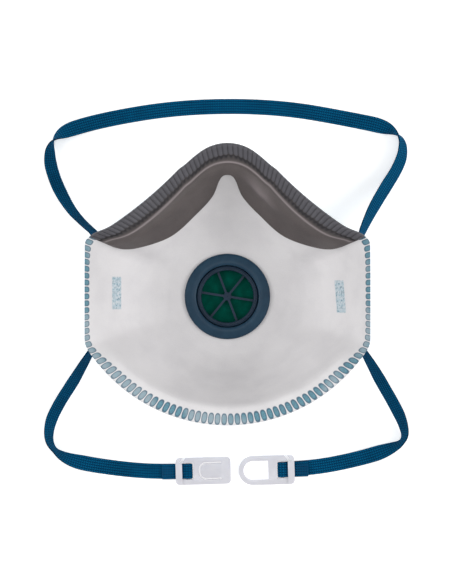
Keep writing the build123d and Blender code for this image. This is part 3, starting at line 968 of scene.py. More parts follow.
    def radii(self, angle: float, inward: np.ndarray) -> np.ndarray:
        """Distances from the axis of points that lie given lengths down the wall from the rim."""
        rim = float(self.rim(np.array([angle]))[0])
        dense = np.linspace(rim, self.port_edge, 300)
        heights = self.height(np.full_like(dense, angle), dense)
        travelled = np.concatenate([[0], np.cumsum(np.hypot(np.diff(dense), np.diff(heights)))])
        return np.interp(inward, travelled, dense)

    def wall_length(self, angle: float, radius: float) -> float:
        """Length down the wall from the rim to a distance from the axis."""
        rim = float(self.rim(np.array([angle]))[0])
        dense = np.linspace(rim, radius, 200)
        heights = self.height(np.full_like(dense, angle), dense)
        return float(np.sum(np.hypot(np.diff(dense), np.diff(heights))))


FORM = CupForm()


# ----------------------------------------------------------------------------------------------
# Camera, floor and light
# ----------------------------------------------------------------------------------------------
@dataclass(frozen=True)
class Lamp:
    """One soft square lamp: its place and size in metres, and its power in watts."""

    name: str
    place: Point
    size: float
    power: float


@dataclass
class Studio:
    """Straight-down camera, pale floor and soft light."""

    distance: float = 1.2
    view_height: float = 276.2 * MM
    centre: tuple[float, float] = (-0.7 * MM, -3.8 * MM)
    sensor: float = 24.0
    near: float = 0.05
    floor_half: float = 3.0
    sky: float = 0.6
    aim: Point = (0, 0, 0.03)
    lamps: tuple[Lamp, ...] = (
        Lamp("left_box", (-1.4, 0.0, 0.9), 0.8, 10.0),
        Lamp("right_box", (1.4, -0.1, 0.9), 0.8, 12.0),
        Lamp("top_light", (0.0, 0.1, 1.7), 0.5, 2.5),
    )

    def camera(self) -> None:
        """Sets the camera above the rim."""
        data = bpy.data.cameras.new("camera")
        data.sensor_fit = "VERTICAL"
        data.sensor_height = self.sensor
        data.lens = self.sensor * self.distance / self.view_height
        data.clip_start = self.near
        camera = new_object("camera", data)
        camera.location = (*self.centre, FORM.side_height + self.distance)
        bpy.context.scene.camera = camera

    def floor(self) -> None:
        """A wide pale sheet at the surface that the valve cover lies on."""
        half = self.floor_half
        corners = np.array([(-half, -half, 0), (half, -half, 0), (half, half, 0), (-half, half, 0)], float)
        floor = mesh_object("floor", corners, [(0, 1, 2, 3)], smooth=False)
        dress(floor, PAPER.material())

    def light(self, lamp: Lamp) -> None:
        """Sets one lamp, which looks at the cup."""
        data = bpy.data.lights.new(lamp.name, "AREA")
        data.shape = "SQUARE"
        data.size = lamp.size
        data.energy = lamp.power
        light = new_object(lamp.name, data)
        light.location = lamp.place
        light.rotation_euler = (Vector(self.aim) - Vector(lamp.place)).to_track_quat("-Z", "Y").to_euler()

    def lights(self) -> None:
        """A soft box on each side and a weak light above, over a bright even sky."""
        world = bpy.data.worlds.new("sky")
        bpy.context.scene.world = world
        world.use_nodes = True
        background = world.node_tree.nodes["Background"]
        background.inputs["Color"].default_value = (1.0, 1.0, 1.0, 1.0)
        background.inputs["Strength"].default_value = self.sky
        for lamp in self.lamps:
            self.light(lamp)
        bpy.context.scene.view_settings.view_transform = "Standard"

    def build(self) -> None:
        """Makes all of it."""
        self.camera()
        self.floor()
        self.lights()


# ----------------------------------------------------------------------------------------------
# Elastic
# ----------------------------------------------------------------------------------------------
def metres(*points: Point) -> list[Point]:
    """A route in metres from one in millimetres."""
    return [(x * MM, y * MM, z * MM) for x, y, z in points]


HEAD_ROUTE = metres(
    (-66.2, 26.0, 14.6), (-73.6, 32.3, 11.2), (-79.8, 40.6, 7.2), (-85.0, 50.6, 3.4), (-88.2, 61.6, 1.1),
    (-87.0, 71.6, 0.65), (-79.2, 76.4, 0.65), (-62.4, 81.4, 0.65), (-31.0, 86.9, 0.65), (0.0, 88.6, 0.65),
    (30.4, 87.2, 0.65), (59.0, 82.2, 0.65), (78.2, 78.0, 0.65), (86.4, 73.0, 0.65), (87.0, 64.6, 1.1),
    (83.6, 56.4, 3.4), (78.4, 48.4, 7.0), (73.8, 41.0, 10.0), (69.6, 33.6, 12.6), (66.2, 26.0, 14.6),
)
LEFT_NECK_ROUTE = metres(
    (-66.4, -32.0, 14.0), (-71.2, -39.8, 10.6), (-76.2, -48.2, 6.6), (-82.6, -57.8, 2.9),
    (-88.0, -68.4, 0.95), (-88.6, -79.2, 0.65), (-81.0, -86.0, 0.65), (-67.6, -89.4, 0.65),
    (-50.4, -91.8, 0.65), (-34.4, -92.9, 0.65), (-19.6, -92.6, 0.65),
)
RIGHT_NECK_ROUTE = metres(
    (66.4, -32.0, 14.0), (71.2, -39.8, 10.6), (75.9, -48.2, 6.6), (81.6, -57.8, 2.9), (86.8, -68.0, 0.95),
    (88.4, -77.4, 0.65), (79.2, -82.0, 0.65), (65.4, -86.4, 0.65), (50.4, -89.6, 0.65),
    (38.6, -91.1, 0.65), (27.2, -91.8, 0.65),
)
HEAD_ROLLS = (
    (0.0, 68.0), (0.03, 64.0), (0.06, 53.0), (0.1, 38.0), (0.15, 38.0), (0.172, 54.0), (0.186, 80.0),
    (0.198, 112.0), (0.213, 148.0), (0.232, 173.0), (0.26, 180.0), (0.73, 180.0), (0.763, 190.0),
    (0.782, 218.0), (0.797, 252.0), (0.81, 284.0), (0.826, 304.0), (0.85, 318.0), (0.91, 324.0),
    (0.95, 318.0), (0.975, 308.0), (1.0, 298.0),
)
NECK_ROLLS = (
    (0.0, 72.0), (0.06, 60.0), (0.16, 44.0), (0.34, 44.0), (0.42, 62.0), (0.47, 78.0), (0.54, 40.0),
    (0.62, 0.0), (1.0, 0.0),
)
FLAT_ROLLS = ((0.0, 0.0), (1.0, 0.0))
LEFT_WELD = (-53.6 * MM, -4.5 * MM)
RIGHT_WELD = (54.2 * MM, -5.2 * MM)
CLIP_TURNS = {"left": 1.6, "right": 181.6}


@dataclass
class Ribbon:
    """One length of flat ribbed elastic along a smooth line."""

    name: str
    route: Sequence[Point]
    rolls: Sequence[tuple[float, float]]
    width: float = 7.5 * MM
    thickness: float = 1.1 * MM
    floor_gap: float = 0.1 * MM
    ribs: int = 6
    rib_rise: float = 0.16 * MM
    ring_step: float = 0.55 * MM
    end_skip: float = 0.0
    roll_span: int = 9
    lift_span: int = 25
    rests: bool = True
    centres: np.ndarray = field(default_factory=lambda: np.zeros((0, 3)))
    sides: np.ndarray = field(default_factory=lambda: np.zeros((0, 3)))

    def line(self) -> np.ndarray:
        """Evenly spaced points of the route's smooth line."""
        curve = bpy.data.curves.new(self.name + "_line", "CURVE")
        curve.dimensions = "3D"
        curve.resolution_u = 24
        spline = curve.splines.new("NURBS")
        spline.points.add(len(self.route) - 1)
        for point, place in zip(spline.points, self.route):
            point.co = (*place, 1.0)
        spline.order_u = 3
        spline.use_endpoint_u = True
        holder = new_object(self.name + "_line", curve)
        bpy.context.view_layer.update()
        view = bpy.context.evaluated_depsgraph_get()
        mesh = bpy.data.meshes.new_from_object(holder.evaluated_get(view))
        points = np.array([v.co for v in mesh.vertices], float)
        bpy.data.objects.remove(holder)
        bpy.data.meshes.remove(mesh)
        travelled = lengths_along(points)
        wanted = np.arange(0.0, travelled[-1] - self.end_skip, self.ring_step)
        return np.stack([np.interp(wanted, travelled, points[:, i]) for i in range(3)], axis=1)

    def section(self) -> np.ndarray:
        """Points round the strap's section, as shares across and heights, ribbed on both faces."""
        steps = self.ribs * 6
        across = np.linspace(-0.5, 0.5, steps + 1)
        lobes = np.abs(np.sin(np.pi * (across + 0.5) * self.ribs)) ** 0.6
        edge = np.sqrt(np.clip(1 - (np.abs(across) * 2) ** 8, 0.0, 1.0))
        half = (self.thickness / 2 - self.rib_rise + self.rib_rise * lobes) * (0.25 + 0.75 * edge)
        top = np.stack([across, half], axis=1)
        bottom = np.stack([across[::-1], -half[::-1]], axis=1)
        return np.concatenate([top, bottom])

    def rolled(self, shares: np.ndarray) -> np.ndarray:
        """How far the ribbon has rolled over at each ring, in radians, evened out along it."""
        roll = np.radians(np.interp(shares, [s for s, _ in self.rolls], [r for _, r in self.rolls]))
        kernel = np.hanning(self.roll_span)
        ends = self.roll_span // 2
        padded_roll = np.concatenate([np.full(ends, roll[0]), roll, np.full(ends, roll[-1])])
        return np.convolve(padded_roll, kernel / kernel.sum(), "valid")

    def lift(self, heights: np.ndarray, roll: np.ndarray) -> np.ndarray:
        """How far each ring has to rise so that its lower edge clears the table, evened out."""
        half_rise = 0.5 * (self.width * np.abs(np.sin(roll)) + self.thickness * np.abs(np.cos(roll)))
        lift = np.maximum(FLOOR_Z + self.floor_gap + half_rise - heights, 0.0)
        ends, kernel = self.lift_span - 1, np.hanning(self.lift_span)
        reach = np.concatenate([np.full(ends, lift[0]), lift, np.full(ends, lift[-1])])
        widest = np.lib.stride_tricks.sliding_window_view(reach, self.lift_span).max(axis=1)
        return np.convolve(widest, kernel / kernel.sum(), "valid")

    def across(self, along: np.ndarray, shares: np.ndarray, level: "np.ndarray | None") -> np.ndarray:
        """Directions across the unrolled ribbon at each ring, square to the line.

        Args:
            along: The line's direction at each ring.
            shares: Share of the line's length at each ring.
            level: Wanted directions at even stops, or nothing for level ones.

        Returns:
            The directions.
        """
        if level is None:
            level = np.cross(np.array([0.0, 0.0, 1.0]), along)
        else:
            stops = np.linspace(0, 1, len(level))
            level = np.stack([np.interp(shares, stops, level[:, i]) for i in range(3)], axis=1)
        level = level - along * np.sum(level * along, axis=1)[:, None]
        return level / np.linalg.norm(level, axis=1)[:, None]

    def build(self, level: "np.ndarray | None" = None) -> bpy.types.Object:
        """Makes the ribbon and keeps the middles and sides of its rings.

        Args:
            level: Directions across the unrolled ribbon at even stops, or nothing for the level one.

        Returns:
            The ribbon.
        """
        centres = self.line()
        travelled = lengths_along(centres)
        shares = travelled / travelled[-1]
        roll = self.rolled(shares)
        if self.rests:
            centres[:, 2] += self.lift(centres[:, 2], roll)
        along = np.gradient(centres, axis=0)
        along /= np.linalg.norm(along, axis=1)[:, None]
        level = self.across(along, shares, level)
        upward = np.cross(along, level)
        side = level * np.cos(roll)[:, None] + upward * np.sin(roll)[:, None]
        self.sides = side
        face = np.cross(along, side)
        section = self.section()
        rings = (
            centres[:, None, :]
            + side[:, None, :] * (section[None, :, 0:1] * self.width)
            + face[:, None, :] * section[None, :, 1:2]
        )
        count, around = len(centres), len(section)
        faces = grid_faces(around, count, 0, True, False)
        faces.append(tuple(range(around - 1, -1, -1)))
        faces.append(tuple(range((count - 1) * around, count * around)))
        strap = mesh_object(self.name, rings.reshape(-1, 3), faces)
        u = np.tile(section[:, 0] + 0.5, count)
        v = np.repeat(travelled * UV_PER_METRE, around)
        with_uv(strap, "strap", u, v)
        self.centres = centres
        return strap


@dataclass
class Harness:
    """Head strap, two neck straps with their clips, and the welded ends at the cup's sides."""

    exits: dict[str, np.ndarray] = field(default_factory=dict)
    clip_edge: float = 0.28 * MM
    thread_edge: float = 0.06 * MM
    bend_run: float = 9.0 * MM
    bar_radius: float = 0.6 * MM
    bar_height: float = 1.9 * MM
    strap: float = 1.1 * MM
    strap_cut: float = 1.2 * MM
    hem_length: float = 12.8 * MM
    hem_gap: float = 0.1 * MM
    hem_step: float = 0.25 * MM
    weld_gap: float = 0.25 * MM
    weld_length: float = 15.7 * MM
    weld_lead: float = 2.4 * MM

    def clip(self, node: str, body: str) -> bpy.types.Object:
        """A milky clip with softened edges."""
        piece = softened_copy(node, node + "_moulding", self.clip_edge)
        finish_piece(piece, body, [node], CLIP.material())
        return piece

    def hem(self, side: str, route: list[Point]) -> bpy.types.Object:
        """The sewn end of a neck strap: round the clip's bar and back over the strap."""
        x, y, _ = route[-1]
        turn = math.radians(CLIP_TURNS[side])
        eye = self.bar_radius + self.hem_gap + self.strap / 2
        bulge, shoulder = 1.5, self.bar_height - self.strap * 0.12 + 0.35 * MM
        on_strap = self.strap * 1.5
        path = [(-self.hem_length, on_strap + self.hem_gap), (-4.0 * MM, on_strap + 0.12 * MM)]
        path.append((-2.6 * MM, shoulder))
        for degrees in range(110, -100, -10):
            a = math.radians(degrees)
            stretch = bulge if abs(degrees) < 90 else 1.0
            path.append((eye * stretch * math.cos(a), self.bar_height + eye * math.sin(a)))
        path.append((-1.4 * MM, self.strap / 2 + self.hem_gap))
        line = [(x + u * math.cos(turn), y + u * math.sin(turn), z) for u, z in path]
        band = Ribbon(side + "_neck_hem", line, FLAT_ROLLS, ring_step=self.hem_step, rests=False)
        return band.build(level=np.array([[-math.sin(turn), math.cos(turn), 0.0]] * 2))

    def welded_end(
        self, side: str, weld: tuple[float, float], head: Sequence[Point], neck: Sequence[Point]
    ) -> bpy.types.Object:
        """The length of elastic that is welded to the outside of the cup, from exit to exit.

        Args:
            side: 'left' or 'right'.
            weld: Middle of the weld, in plan.
            head: First two points of the head strap from this exit.
            neck: First two points of the neck strap from this exit.

        Returns:
            The welded length.
        """
        x, y = weld
        angle = math.degrees(math.atan2(y - FORM.valve_y, x))
        reach = math.hypot(x, y - FORM.valve_y)
        off = -(self.weld_gap + self.strap / 2)
        angles = FORM.folded(np.full(3, angle))
        low, middle, high = FORM.point(angles, np.array([reach - MM, reach, reach + MM]), np.full(3, off))
        half = self.weld_length / 2
        lead_in, lead_out = (
            tuple(start - (after - start) * (self.weld_lead / math.dist(start, after)))
            for start, after in (np.array(head), np.array(neck))
        )
        route = [head[0], lead_in, (middle[0], middle[1] + half, middle[2])]
        route += [(middle[0], middle[1] - half, middle[2]), lead_out, neck[0]]
        band = Ribbon(side + "_welded_elastic", route, FLAT_ROLLS, rests=False)
        slope = high - low
        slope[1] = 0.0
        slope = slope / np.linalg.norm(slope)
        exits = (self.exits[side + " head"], self.exits[side + " neck"])
        ends = [end * math.copysign(1.0, float(end @ slope)) for end in exits]
        return band.build(level=np.array([ends[0], slope, slope, slope, ends[1]]))

    def stitches(self, node: str, body: str) -> bpy.types.Object:
        """Thread over the sewn end of a strap."""
        piece = softened_copy(node, node + "_thread", self.thread_edge)
        finish_piece(piece, body, [node], THREAD.material())
        return piece

    def build(self) -> None:
        """Makes the straps and what is on them."""
        knit = ELASTIC.material()
        head = Ribbon("head_elastic_band", HEAD_ROUTE, HEAD_ROLLS)
        piece = head.build()
        self.exits["left head"], self.exits["right head"] = head.sides[0], head.sides[-1]
        x, y, z = HEAD_ROUTE[0]
        bend = ((x, y, z), (x, y + self.bend_run, z))
        finish_piece(piece, "head_elastic", ["head_strap"], knit, bend)
        for side, route, fitting, sign in (
            ("left", LEFT_NECK_ROUTE, "hook", -1.0),
            ("right", RIGHT_NECK_ROUTE, "loop", 1.0),
        ):
            body, node = side + "_neck_elastic", side + "_neck_strap"
            rolls = [(share, sign * degrees) for share, degrees in NECK_ROLLS]
            ribbon = Ribbon(side + "_neck_band", route, rolls, end_skip=self.strap_cut)
            piece = ribbon.build()
            self.exits[side + " neck"] = ribbon.sides[0]
            x, y, z = route[0]
            finish_piece(piece, body, [node], knit, ((x, y, z), (x, y - self.bend_run, z)))
            hem = self.hem(side, route)
            finish_piece(hem, body, [node], knit)
            clip = self.clip(fitting + "_clip", fitting)
            stitches = self.stitches(fitting + "_hem_stitching", body)
        for side, weld, head, neck in (
            ("left", LEFT_WELD, HEAD_ROUTE[:2], LEFT_NECK_ROUTE[:2]),
            ("right", RIGHT_WELD, HEAD_ROUTE[:-3:-1], RIGHT_NECK_ROUTE[:2]),
        ):
            band = self.welded_end(side, weld, head, neck)
            finish_piece(band, "cup", [side + "_strap_end"], knit)


# ----------------------------------------------------------------------------------------------
# Cup
# ----------------------------------------------------------------------------------------------
@dataclass
class Cup:
    """The lining, the filter web and the blue cover, welded along the rim."""

    welds: int = 130
    steps_per_weld: int = 6
    band_rows: int = 21
    band_depth: float = 8.0 * MM
    inner_rows: int = 32
    port: float = 15.6 * MM
    layers: float = 2.74 * MM
    cover: float = 0.6 * MM
    lining: float = 0.9 * MM
    side_shift: float = 1.3 * MM
    side_squeeze: float = 0.6
    side_run: float = 14.0 * MM
    filter_first: int = 8
    filter_depths: tuple[float, float] = (0.7 * MM, 1.55 * MM)
    clip_inset: float = 8.6 * MM
    clip_width: float = 4.0 * MM
    clip_first: float = 42.0
    clip_end: float = 2.2
    clip_depths: tuple[float, float] = (-0.15 * MM, -0.95 * MM)
    lip_run: float = 2.6 * MM
    lip_fall: float = 0.7
    lip_reach: float = 0.25 * MM
    lip_gap: float = 0.05 * MM
    dent: float = 0.42 * MM
    cover_dent: float = 0.6
    dent_edge: float = 1.12
    dent_run: float = 0.5
    puff: float = 0.12 * MM
    slack: float = 0.10 * MM
    flute_rise: float = 0.16 * MM
    flute_pitch: float = 8.6 * MM
    flute_start: float = 26.0 * MM
    flute_end: float = 50.0 * MM

    def grid(self) -> tuple[np.ndarray, np.ndarray, np.ndarray]:
        """Angle, distance from the axis and length from the rim of each point of the cup's grid."""
        angles = FORM.folded(FORM.stations(self.welds * self.steps_per_weld))
        band = np.linspace(0, self.band_depth, self.band_rows)
        radii, inward = [], []
        for angle in angles:
            total = FORM.wall_length(angle, self.port)
            rest = np.linspace(self.band_depth, total, self.inner_rows + 1)[1:]
            lengths = np.concatenate([band, rest])
            inward.append(lengths)
            radii.append(FORM.radii(angle, lengths))
        radii_grid = np.array(radii).T
        return np.broadcast_to(angles, radii_grid.shape), radii_grid, np.array(inward).T

    def along(self, inward: np.ndarray) -> np.ndarray:
        """Welds counted along the rim, at every point of a grid."""
        return np.broadcast_to(np.arange(inward.shape[1]) / self.steps_per_weld, inward.shape)

    def pressed(self, inward: np.ndarray) -> np.ndarray:
        """How far the welds press each point in, from 0 to 1."""
        return ease((self.dent_edge - WELD.distance(self.along(inward), inward)) / self.dent_run)

    def relief(self, angles: np.ndarray, radii: np.ndarray, inward: np.ndarray) -> np.ndarray:
        """How far the lining stands inside its plain form: welds, puffs, flutes and slack."""
        dents = -self.dent * self.pressed(inward)
        puff = self.puff * ease((inward - 6.2 * MM) / (2.5 * MM)) * ease((14 * MM - inward) / (6 * MM))
        inside = ease((radii - self.flute_start) / (3 * MM)) * ease((self.flute_end - radii) / (8 * MM))
        turns = 2 * math.pi * (radii - self.flute_start) / self.flute_pitch
        flutes = self.flute_rise * inside * np.cos(turns)
        a = np.radians(angles)
        slack = self.slack * np.sin(3 * a + 160 * radii) * np.sin(5 * a - 90 * radii + 1.3)
        slack = slack * ease(inward / (12 * MM)) * ease((radii - 22 * MM) / (8 * MM))
        return dents + puff + flutes + slack

    def layer(self, name: str, near: np.ndarray, far: np.ndarray, inward: np.ndarray) -> bpy.types.Object:
        """A closed layer between two grids, with its rim UV map."""
        piece = shell(name, near, far, True)
        u = np.tile(self.along(inward).ravel(), 2)
        v = np.tile(inward.ravel(), 2) * UV_PER_METRE
        with_uv(piece, "rim", u, v, wrap=float(self.welds))
        return piece

    def build(self) -> None:
        """Makes the three layers."""
        angles, radii, inward = self.grid()
        flare = ease((np.abs(np.sin(np.radians(angles))) - FORM.flare_start) / FORM.flare_run)
        thin = 1 - self.side_squeeze * (1 - flare) * ease(1 - inward / self.side_run)
        inward = inward + self.side_shift * (1 - flare)
        relief = self.relief(angles, radii, inward)
        lip = ease(1 - (inward - inward[0]) / self.lip_run)
        over_lip = radii + lip * self.lip_reach
        inner = FORM.point(angles, over_lip, (self.layers + relief) * thin * (1 - self.lip_fall * lip))
        under_lip = thin * (self.layers - self.lining * 0.8) * (1 - self.lip_fall * lip) * (1 - 0.6 * lip)
        back = FORM.point(angles, over_lip, under_lip + self.lip_gap * lip)
        lining = self.layer("cup_lining", inner, back, inward)
        finish_piece(lining, "cup", ["inner_shell"], LINING.material())
        dents = thin * self.dent * self.cover_dent * self.pressed(inward)
        outside = FORM.point(angles, radii, dents)
        under = FORM.point(angles, radii, self.cover * thin)
        cover = self.layer("cup_cover", outside, under, inward)
        finish_piece(cover, "cup", ["outer_cover"], COVER.material())
        kept = slice(self.filter_first, None)
        near, far = (
            FORM.point(angles[kept], radii[kept], depth * thin[kept]) for depth in self.filter_depths[::-1]
        )
        web = self.layer("cup_filter", near, far, inward[kept])
        finish_piece(web, "cup", ["filter_media"], FILTER.material())
        finish_piece(self.strip(), "cup", ["nose_clip"], STRIP.material())

    def strip(self) -> bpy.types.Object:
        """Soft metal strip over the outside of the nose, with rounded ends and edges."""
        angles = np.linspace(self.clip_first, 180 - self.clip_first, 240)
        across = np.linspace(-1, 1, 17)[:, None]
        ends = np.minimum(angles - angles[0], angles[-1] - angles) / self.clip_end
        half = self.clip_width / 2 * quarter_round(np.clip(ends, 0.02, 1))
        radii = FORM.rim(angles) - self.clip_inset - self.clip_width / 2 + half * across
        angle_grid = np.broadcast_to(angles, radii.shape)
        near, far = self.clip_depths
        edge = np.sqrt(1 - np.abs(across) ** 6) * np.ones_like(radii)
        middle = (near + far) / 2
        top = FORM.point(angle_grid, radii, middle + (near - middle) * edge)
        bottom = FORM.point(angle_grid, radii, middle + (far - middle) * edge)
        return shell("nose_strip", top, bottom, False)


@dataclass
class NoseSeal:
    """Grey foam over the top of the cup's inside."""

    free_edge: tuple[tuple[float, float], ...] = (
        (0.0, 52.8), (2.2, 52.3), (4.1, 50.0), (7.5, 42.5), (15.5, 34.0), (28.0, 23.4), (44.5, 17.5),
        (56.0, 17.4), (63.0, 19.6),
    )
    base: float = 2.9 * MM
    sink: float = 0.5 * MM
    lap: float = 0.25 * MM
    first_angle: float = 23.4
    first_row: float = 0.25 * MM
    wrap_rows: int = 7
    wrap_reach: float = 0.9 * MM
    wrap_inset: float = 0.5 * MM
    wrap_start: float = 0.3 * MM
    wrap_end: float = 3.0 * MM
    rows: int = 64
    columns: int = 560
    probed: tuple[float, float] = (20.0 * MM, 76.0 * MM)
    seen_depth: float = 0.6 * MM
    rib_pitch: float = 2.6 * MM
    rib_lean: float = 0.12
    rib_rise: float = 0.3 * MM
    band: float = 4.6 * MM
    band_thickness: float = 1.0 * MM
    wing_thickness: float = 2.1 * MM
    groove_place: float = 0.7 * MM
    groove_width: float = 0.6 * MM
    groove_depth: float = 0.5 * MM
    ridge_place: float = 7.1 * MM
    ridge_wander: float = 0.3 * MM
    ridge_widths: tuple[float, float] = (1.2 * MM, 1.0 * MM)
    ridge_rise: float = 0.75 * MM
    swell_place: tuple[float, float] = (0.36, 12.5 * MM)
    swell_spread: tuple[float, float] = (0.06, 2.2 * MM)
    swell_rise: float = 0.9 * MM
    edge_round: float = 1.8 * MM
    end_round: float = 1.4 * MM
    corner_run: float = 3.0 * MM
    corner_cut: float = 0.4
    painted_highlight_width: float = 0.42 * MM
    padding: float = 0.8

    def edge_radii(self, angles: np.ndarray) -> np.ndarray:
        """Distance of the free edge from the valve's axis, at each angle."""
        points = [(-x, y) for x, y in self.free_edge[:0:-1]] + list(self.free_edge)
        knots = np.array(points) * MM
        smooth = []
        for i in range(len(knots) - 1):
            p0, p1 = knots[max(i - 1, 0)], knots[i]
            p2, p3 = knots[i + 1], knots[min(i + 2, len(knots) - 1)]
            for t in np.linspace(0, 1, 24, endpoint=False):
                smooth.append(0.5 * (2 * p1 + (p2 - p0) * t + (2 * p0 - 5 * p1 + 4 * p2 - p3) * t**2
                                     + (3 * p1 - p0 - 3 * p2 + p3) * t**3))
        smooth = np.array(smooth + [knots[-1]])
        polar = np.degrees(np.arctan2(smooth[:, 1] - FORM.valve_y, smooth[:, 0]))
        reach = np.hypot(smooth[:, 0], smooth[:, 1] - FORM.valve_y)
        order = np.argsort(polar)
        return np.interp(angles, polar[order], reach[order])

    def grid(self) -> tuple[np.ndarray, np.ndarray, np.ndarray, np.ndarray]:
        """Angle and place along the rim of each column, and radius and length from the rim of each point."""
        dense = np.linspace(self.first_angle, 180 - self.first_angle, 4001)
        travelled = lengths_along(FORM.point(dense, FORM.rim(dense), np.zeros_like(dense)))
        along = np.linspace(0, travelled[-1], self.columns)
        angles = np.interp(along, travelled, dense)
        radii, inward = [], []
        probe = np.linspace(*self.probed, 400)
        surface = np.full_like(probe, self.base + self.seen_depth)
        for angle, edge in zip(angles, self.edge_radii(angles)):
            seen = FORM.point(np.full_like(probe, angle), probe, surface)
            plan = np.hypot(seen[:, 0], seen[:, 1] - FORM.valve_y)
            total = FORM.wall_length(angle, float(np.interp(edge, plan, probe)))
            lengths = np.linspace(self.first_row, total, self.rows)
            radii.append(FORM.radii(angle, lengths))
            inward.append(lengths)
        return angles, along, np.array(radii).T, np.array(inward).T

    def relief(self, along: np.ndarray, inward: np.ndarray) -> tuple[np.ndarray, dict[str, np.ndarray]]:
        """The foam's thickness, and what its material reads, at every point of the grid.

        Args:
            along: Length along the rim of each point.
            inward: Length from the rim of each point.

        Returns:
            The thickness, and three shares for the material: the weld band, painted shade, and a painted
            highlight that goes below zero where shade is painted between band and ridge.
        """
        wobble = 0.35 * MM * np.sin(along / (7.3 * MM)) * np.sin(along / (3.1 * MM) + 1.0)
        phase = 2 * math.pi * (along + inward * self.rib_lean) / self.rib_pitch
        wobble = wobble + 0.25 * MM * np.cos(phase)
        in_band = ease((self.band + 0.5 * MM + wobble - inward) / (0.9 * MM))
        rib = 1 - 2 * np.abs(np.sin(phase / 2)) ** 3 + 0.25 * np.sin(3 * phase + 0.6)
        groove = bump(inward - wobble - self.band - self.groove_place, self.groove_width)
        crest = inward - self.ridge_place - self.ridge_wander * np.sin(along / (11 * MM))
        ridge = bump(crest, np.where(crest < 0, *self.ridge_widths))
        (side, depth), (side_spread, depth_spread) = self.swell_place, self.swell_spread
        swell = bump(along / along[0, -1] - side, side_spread) * bump(inward - depth, depth_spread)
        wing = ease((inward - self.band - 0.3 * MM) / (3 * MM))
        thick = self.band_thickness + (self.wing_thickness - self.band_thickness) * wing
        thick = thick + in_band * rib * self.rib_rise - groove * self.groove_depth
        thick = thick + ridge * self.ridge_rise + swell * self.swell_rise
        # Painted shade in the groove and in the gaps between the band's ribs.
        painted_shade = np.clip(groove * 0.9 + in_band * np.clip(-rib, 0, 1) * 0.75, 0, 1)
        # Painted highlight along the ridge's crest and over the swell, less a painted shade between band and
        # ridge.
        painted_highlight_and_shade = 0.75 * bump(crest, self.painted_highlight_width) + 0.5 * swell
        painted_highlight_and_shade = painted_highlight_and_shade - 0.5 * ease((inward - self.band) / (1.2 * MM)) * ease(-crest / (1.4 * MM))
        return thick, {"band": in_band, "painted_shade": painted_shade, "painted_highlight_and_shade": painted_highlight_and_shade}

    def build(self) -> None:
        """Makes the foam with its ribbed weld band, groove, ridge and soft wings, wrapped over the rim."""
        angles, along, radii, inward = self.grid()
        angle_grid = np.broadcast_to(angles, radii.shape)
        along_grid = np.broadcast_to(along, radii.shape)
        thick, shares = self.relief(along_grid, inward)
        ends = np.minimum(along_grid, along[-1] - along_grid)
        corner = np.minimum(1.0, (inward[-1] - inward) / self.corner_run)
        from_edge = np.clip((inward[-1] - inward) / self.edge_round, 0.0, 1.0)
        from_end = np.clip(ends / self.end_round - self.corner_cut * (1 - corner), 0.0, 1.0)
        soft = quarter_round(from_edge) * quarter_round(from_end)
        top = FORM.point(angle_grid, radii, self.base - self.lap + (thick + self.lap) * soft)
        bottom = FORM.point(angle_grid, radii, np.full_like(radii, self.base - self.sink))

        turn = np.linspace(0, 1, self.wrap_rows, endpoint=False)[:, None]
        end_soft = quarter_round(np.clip(ends[0] / self.wrap_end, 0.0, 1.0))[None, :]
        bulge = self.wrap_reach * np.sqrt(np.sin(np.pi * (0.04 + 0.5 * turn))) + self.wrap_inset
        rims = FORM.rim(angles)[None, :] - self.wrap_inset + bulge * end_soft
        depths = -self.wrap_start + (self.base + thick[0] * soft[0] + self.wrap_start)[None, :] * turn
        wrap_angles = np.broadcast_to(angles, rims.shape)
        inner_rims = np.broadcast_to(FORM.rim(angles) - self.wrap_inset, rims.shape)
        top = np.concatenate([FORM.point(wrap_angles, rims, depths), top])
        bottom = np.concatenate([FORM.point(wrap_angles, inner_rims, depths.clip(0, self.base)), bottom])
        piece = shell("nose_foam", top, bottom, False)
        # Over the rim: painted shade carried on from the band's groove and ribs, darker toward the outer side
        # of the rim; no painted highlight there.
        wrapped = {
            "band": np.ones_like(rims),
            "painted_shade": np.broadcast_to(shares["painted_shade"][0], rims.shape) * 0.5 + 0.3 * (1 - turn),
            "painted_highlight_and_shade": np.zeros_like(rims),
        }
        for name, over_rim in wrapped.items():
            with_number(piece, name, np.tile(np.concatenate([over_rim, shares[name]]).ravel(), 2))
        finish_piece(piece, "cup", ["nose_seal"], SEAL.material())


